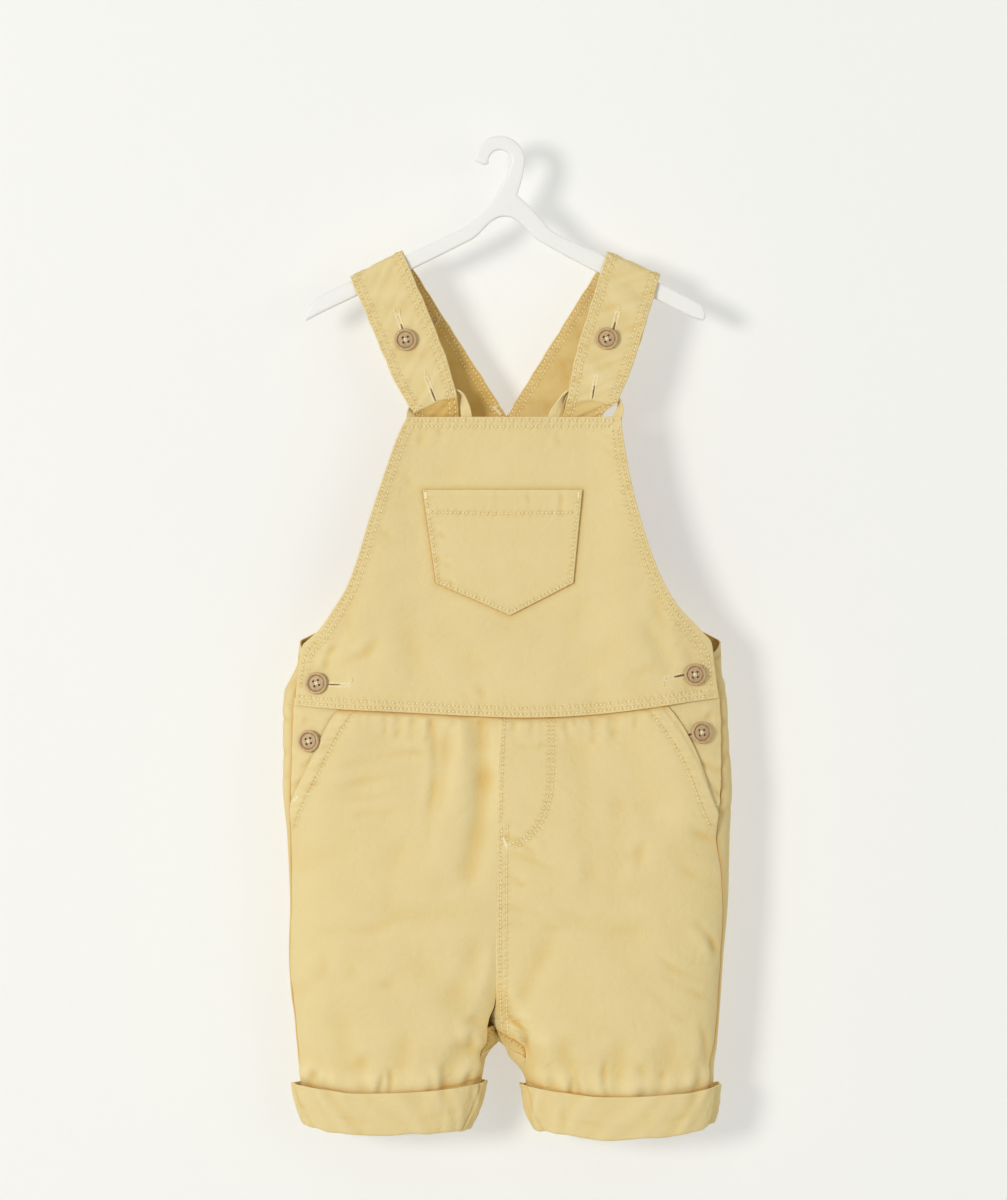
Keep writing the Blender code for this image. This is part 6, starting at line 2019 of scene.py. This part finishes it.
def plane(name, corners, look):
    obj = mesh_object(name, corners, [[0, 1, 2, 3]], look)
    obj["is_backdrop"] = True
    return obj


def backdrop():
    """A wall close behind the garment, which takes its shadow, and a floor far below it."""
    stage = bpy.context.scene.dungarees_stage
    colour = stage.wall_colour
    y, foot, reach = stage.wall_distance, -1400.0, 3000.0
    wall = plane(
        "wall",
        [(-reach, y, foot), (reach, y, foot), (reach, y, reach), (-reach, y, reach)],
        paint_material("wall_paint", colour, stage.glow, one_sided=True),
    )
    wall.visible_shadow = False
    plane(
        "floor",
        [(-reach, -reach, foot), (reach, -reach, foot), (reach, reach, foot), (-reach, reach, foot)],
        paint_material("floor_paint", colour),
    )


# ------ settings


class DungareesCloth(bpy.types.PropertyGroup):
    colour: FloatVectorProperty(
        name="Colour", description="Colour of the twill", subtype="COLOR", size=3,
        default=(0.805, 0.668, 0.362), min=0.0, max=1.0,
    )
    rib_pitch: FloatProperty(
        name="Rib pitch", description="Distance between the diagonal ribs, in millimetres", default=0.62
    )
    rib_angle: FloatProperty(
        name="Rib angle", description="Slope of the diagonal ribs, in degrees", default=58.0
    )
    relief: FloatProperty(
        name="Relief", description="Strength of the weave's relief", default=0.55, subtype="FACTOR",
        min=0.0, max=1.0,
    )
    crumple: FloatProperty(
        name="Crumple", description="Strength of the small folds", default=0.7, subtype="FACTOR",
        min=0.0, max=1.0,
    )
    # Painted shade: the power that deepens the colour of the reverse and of other places in deep shade
    reverse_shade_depth: FloatProperty(
        name="Depth of the reverse", description="Power that deepens the colour of the reverse", default=1.7
    )
    sheen: FloatProperty(
        name="Sheen", description="Soft light on the cloth's nap", default=0.22, subtype="FACTOR",
        min=0.0, max=1.0,
    )


class DungareesThread(bpy.types.PropertyGroup):
    colour: FloatVectorProperty(
        name="Colour", description="Colour of the sewing thread", subtype="COLOR", size=3,
        default=(0.95, 0.85, 0.58), min=0.0, max=1.0,
    )
    stitch_length: FloatProperty(
        name="Stitch length", description="From needle hole to needle hole, in millimetres", default=2.5
    )
    stitch_gap: FloatProperty(
        name="Gap", description="Bare cloth between two stitches, in millimetres", default=0.55
    )


class DungareesHardware(bpy.types.PropertyGroup):
    button_colour: FloatVectorProperty(
        name="Buttons", description="Colour of the wooden buttons", subtype="COLOR", size=3,
        default=(0.60, 0.425, 0.235), min=0.0, max=1.0,
    )
    hanger_colour: FloatVectorProperty(
        name="Hanger", description="Colour of the hanger's plastic", subtype="COLOR", size=3,
        default=(0.86, 0.86, 0.85), min=0.0, max=1.0,
    )


class DungareesStage(bpy.types.PropertyGroup):
    wall_colour: FloatVectorProperty(
        name="Wall", description="Colour of the wall and floor", subtype="COLOR", size=3,
        default=(0.567, 0.554, 0.480), min=0.0, max=1.0,
    )
    glow: FloatProperty(name="Glow", description="Light that the wall gives off itself", default=0.398)
    sky_colour: FloatVectorProperty(
        name="Sky", description="Colour of the light all round", subtype="COLOR", size=3,
        default=(0.93, 0.915, 0.85), min=0.0, max=1.0,
    )
    wall_distance: FloatProperty(
        name="Wall distance", description="From the hanger's middle to the wall, in millimetres", default=38.0
    )
    distance: FloatProperty(
        name="Camera distance", description="From the camera to the garment, in millimetres", default=3000.0
    )
    light: FloatProperty(name="Lamps", description="Strength of all lamps", default=1.0)
    sky: FloatProperty(name="Surroundings", description="Strength of the light all round", default=0.52)


# ------ operators


class Maker:
    """What the operators share."""

    bl_options = {"REGISTER", "UNDO"}


class DUNGAREES_OT_front_legs(Maker, bpy.types.Operator):
    """Front trouser panels with slanted pocket mouths, and their topstitching"""

    bl_idname = "dungarees.front_legs"
    bl_label = "Front legs"

    def execute(self, context):
        for side, word in SIDES:
            piece = dress(front_leg(side, word), "twill", f"front_leg_{word}")
            thread = sew_rows(f"front_leg_{word}_topstitch", piece, front_rows(side), seed=11 + side)
            dress(thread, "twill")
        return {"FINISHED"}


class DUNGAREES_OT_back_legs(Maker, bpy.types.Operator):
    """Back trouser panels, gathered by the elastic at the waist"""

    bl_idname = "dungarees.back_legs"
    bl_label = "Back legs"

    def execute(self, context):
        for side, word in SIDES:
            piece = dress(back_leg(side, word), "twill", f"back_leg_{word}")
            thread = sew_rows(
                f"back_leg_{word}_topstitch", piece, back_rows(side), from_behind=True, seed=31 + side
            )
            sewn_on = [dress(thread, "twill")]
            if side > 0:
                sewn_on.append(dress(crotch_seam(), "twill"))
        return {"FINISHED"}


class DUNGAREES_OT_pocket_facings(Maker, bpy.types.Operator):
    """Side pieces behind the slanted pocket mouths"""

    bl_idname = "dungarees.pocket_facings"
    bl_label = "Pocket facings"

    def execute(self, context):
        for side, word in SIDES:
            piece = dress(pocket_facing(side, word), "twill", f"pocket_facing_{word}")
        return {"FINISHED"}


class DUNGAREES_OT_bib(Maker, bpy.types.Operator):
    """Bib with curved armhole edges, double-stitched all round"""

    bl_idname = "dungarees.bib"
    bl_label = "Bib"

    def execute(self, context):
        piece = dress(bib(), "twill", "bib")
        thread = dress(sew_rows("bib_topstitch", piece, bib_rows(), seed=41), "twill")
        return {"FINISHED"}


class DUNGAREES_OT_bib_pocket(Maker, bpy.types.Operator):
    """Patch pocket on the bib, with a hemmed mouth and a pointed foot"""

    bl_idname = "dungarees.bib_pocket"
    bl_label = "Bib pocket"

    def execute(self, context):
        piece = dress(bib_pocket(), "twill", "bib_pocket")
        thread = dress(sew_rows("bib_pocket_topstitch", piece, pocket_rows(), seed=51), "twill")
        return {"FINISHED"}


class DUNGAREES_OT_back_bodice(Maker, bpy.types.Operator):
    """Back panel above the waist, with its armhole edges"""

    bl_idname = "dungarees.back_bodice"
    bl_label = "Back bodice"

    def execute(self, context):
        piece = dress(back_bodice(), "twill", "back_bodice")
        thread = sew_rows(
            "back_bodice_topstitch", piece, bodice_rows(), from_behind=True, inside=True, seed=61
        )
        dress(thread, "twill")
        return {"FINISHED"}


class DUNGAREES_OT_cuffs(Maker, bpy.types.Operator):
    """Turned-up cuffs"""

    bl_idname = "dungarees.cuffs"
    bl_label = "Cuffs"

    def execute(self, context):
        for side, word in SIDES:
            piece = dress(cuff(side, word), "twill", f"cuff_{word}")
        return {"FINISHED"}


class DUNGAREES_OT_straps(Maker, bpy.types.Operator):
    """Shoulder straps, double-stitched along both edges"""

    bl_idname = "dungarees.straps"
    bl_label = "Straps"

    def execute(self, context):
        for word, rows, seed in (("right", RIGHT_STRAP, 1.0), ("left", LEFT_STRAP, 2.0)):
            piece = dress(strap(word, rows, seed), "twill", f"strap_{word}")
            thread = dress(sew_strap(word, rows, seed), "twill")
        return {"FINISHED"}


class DUNGAREES_OT_strap_loops(Maker, bpy.types.Operator):
    """Narrow cloth loops on the bib's upper edge"""

    bl_idname = "dungarees.strap_loops"
    bl_label = "Strap loops"

    def execute(self, context):
        for word, rows in (("right", RIGHT_LOOP), ("left", LEFT_LOOP)):
            dress(strap_loop(word, rows), "twill", f"strap_loop_{word}")
        return {"FINISHED"}


class DUNGAREES_OT_buttons(Maker, bpy.types.Operator):
    """Four-hole wooden buttons and the thread that holds them"""

    bl_idname = "dungarees.buttons"
    bl_label = "Buttons"

    def execute(self, context):
        mesh = button_mesh()
        for row in BUTTONS:
            wood, thread = button(row, mesh)
            dress(wood, "coconut_wood", row.node)
            dress(thread, "twill")
        return {"FINISHED"}


class DUNGAREES_OT_buttonholes(Maker, bpy.types.Operator):
    """Whip-stitched buttonholes and their loose thread ends"""

    bl_idname = "dungarees.buttonholes"
    bl_label = "Buttonholes"

    def execute(self, context):
        for piece in buttonholes():
            dress(piece, "twill")
        return {"FINISHED"}


class DUNGAREES_OT_hanger(Maker, bpy.types.Operator):
    """Flat white hanger with an open hook"""

    bl_idname = "dungarees.hanger"
    bl_label = "Hanger"

    def execute(self, context):
        dress(hanger(), "white_plastic", "hanger")
        return {"FINISHED"}


class DUNGAREES_OT_stage(Maker, bpy.types.Operator):
    """Camera, lamps, wall and floor"""

    bl_idname = "dungarees.stage"
    bl_label = "Stage"

    def execute(self, context):
        context.scene.view_settings.view_transform = "Standard"
        camera()
        lamps()
        sky()
        backdrop()
        return {"FINISHED"}


class DUNGAREES_PT_panel(bpy.types.Panel):
    """Settings and pieces of the dungarees"""

    bl_label = "Dungarees"
    bl_idname = "DUNGAREES_PT_panel"
    bl_space_type = "VIEW_3D"
    bl_region_type = "UI"
    bl_category = "Dungarees"

    def draw(self, context):
        for group in GROUPS:
            settings = getattr(context.scene, group)
            box = self.layout.box()
            for key in settings.bl_rna.properties.keys():
                if key not in ("rna_type", "name"):
                    box.prop(settings, key)
        for kind in OPERATORS:
            self.layout.operator(kind.bl_idname)


GROUPS = {
    "dungarees_cloth": DungareesCloth,
    "dungarees_thread": DungareesThread,
    "dungarees_hardware": DungareesHardware,
    "dungarees_stage": DungareesStage,
}
OPERATORS = (
    DUNGAREES_OT_hanger,
    DUNGAREES_OT_straps,
    DUNGAREES_OT_strap_loops,
    DUNGAREES_OT_bib,
    DUNGAREES_OT_bib_pocket,
    DUNGAREES_OT_back_bodice,
    DUNGAREES_OT_front_legs,
    DUNGAREES_OT_back_legs,
    DUNGAREES_OT_pocket_facings,
    DUNGAREES_OT_cuffs,
    DUNGAREES_OT_buttons,
    DUNGAREES_OT_buttonholes,
    DUNGAREES_OT_stage,
)


def register():
    for kind in (*GROUPS.values(), *OPERATORS, DUNGAREES_PT_panel):
        bpy.utils.register_class(kind)
    for name, kind in GROUPS.items():
        setattr(bpy.types.Scene, name, PointerProperty(type=kind))


def unregister():
    for name in GROUPS:
        delattr(bpy.types.Scene, name)
    for kind in reversed((*GROUPS.values(), *OPERATORS, DUNGAREES_PT_panel)):
        bpy.utils.unregister_class(kind)


def main():
    register()
    for kind in OPERATORS:
        group, name = kind.bl_idname.split(".")
        getattr(getattr(bpy.ops, group), name)()
    boxes = {"solids": SOLID_BOX, "scene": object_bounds()}
    sizes = {name: [list(corner) for corner in box] for name, box in boxes.items()}


if __name__ == "__main__":
    main()
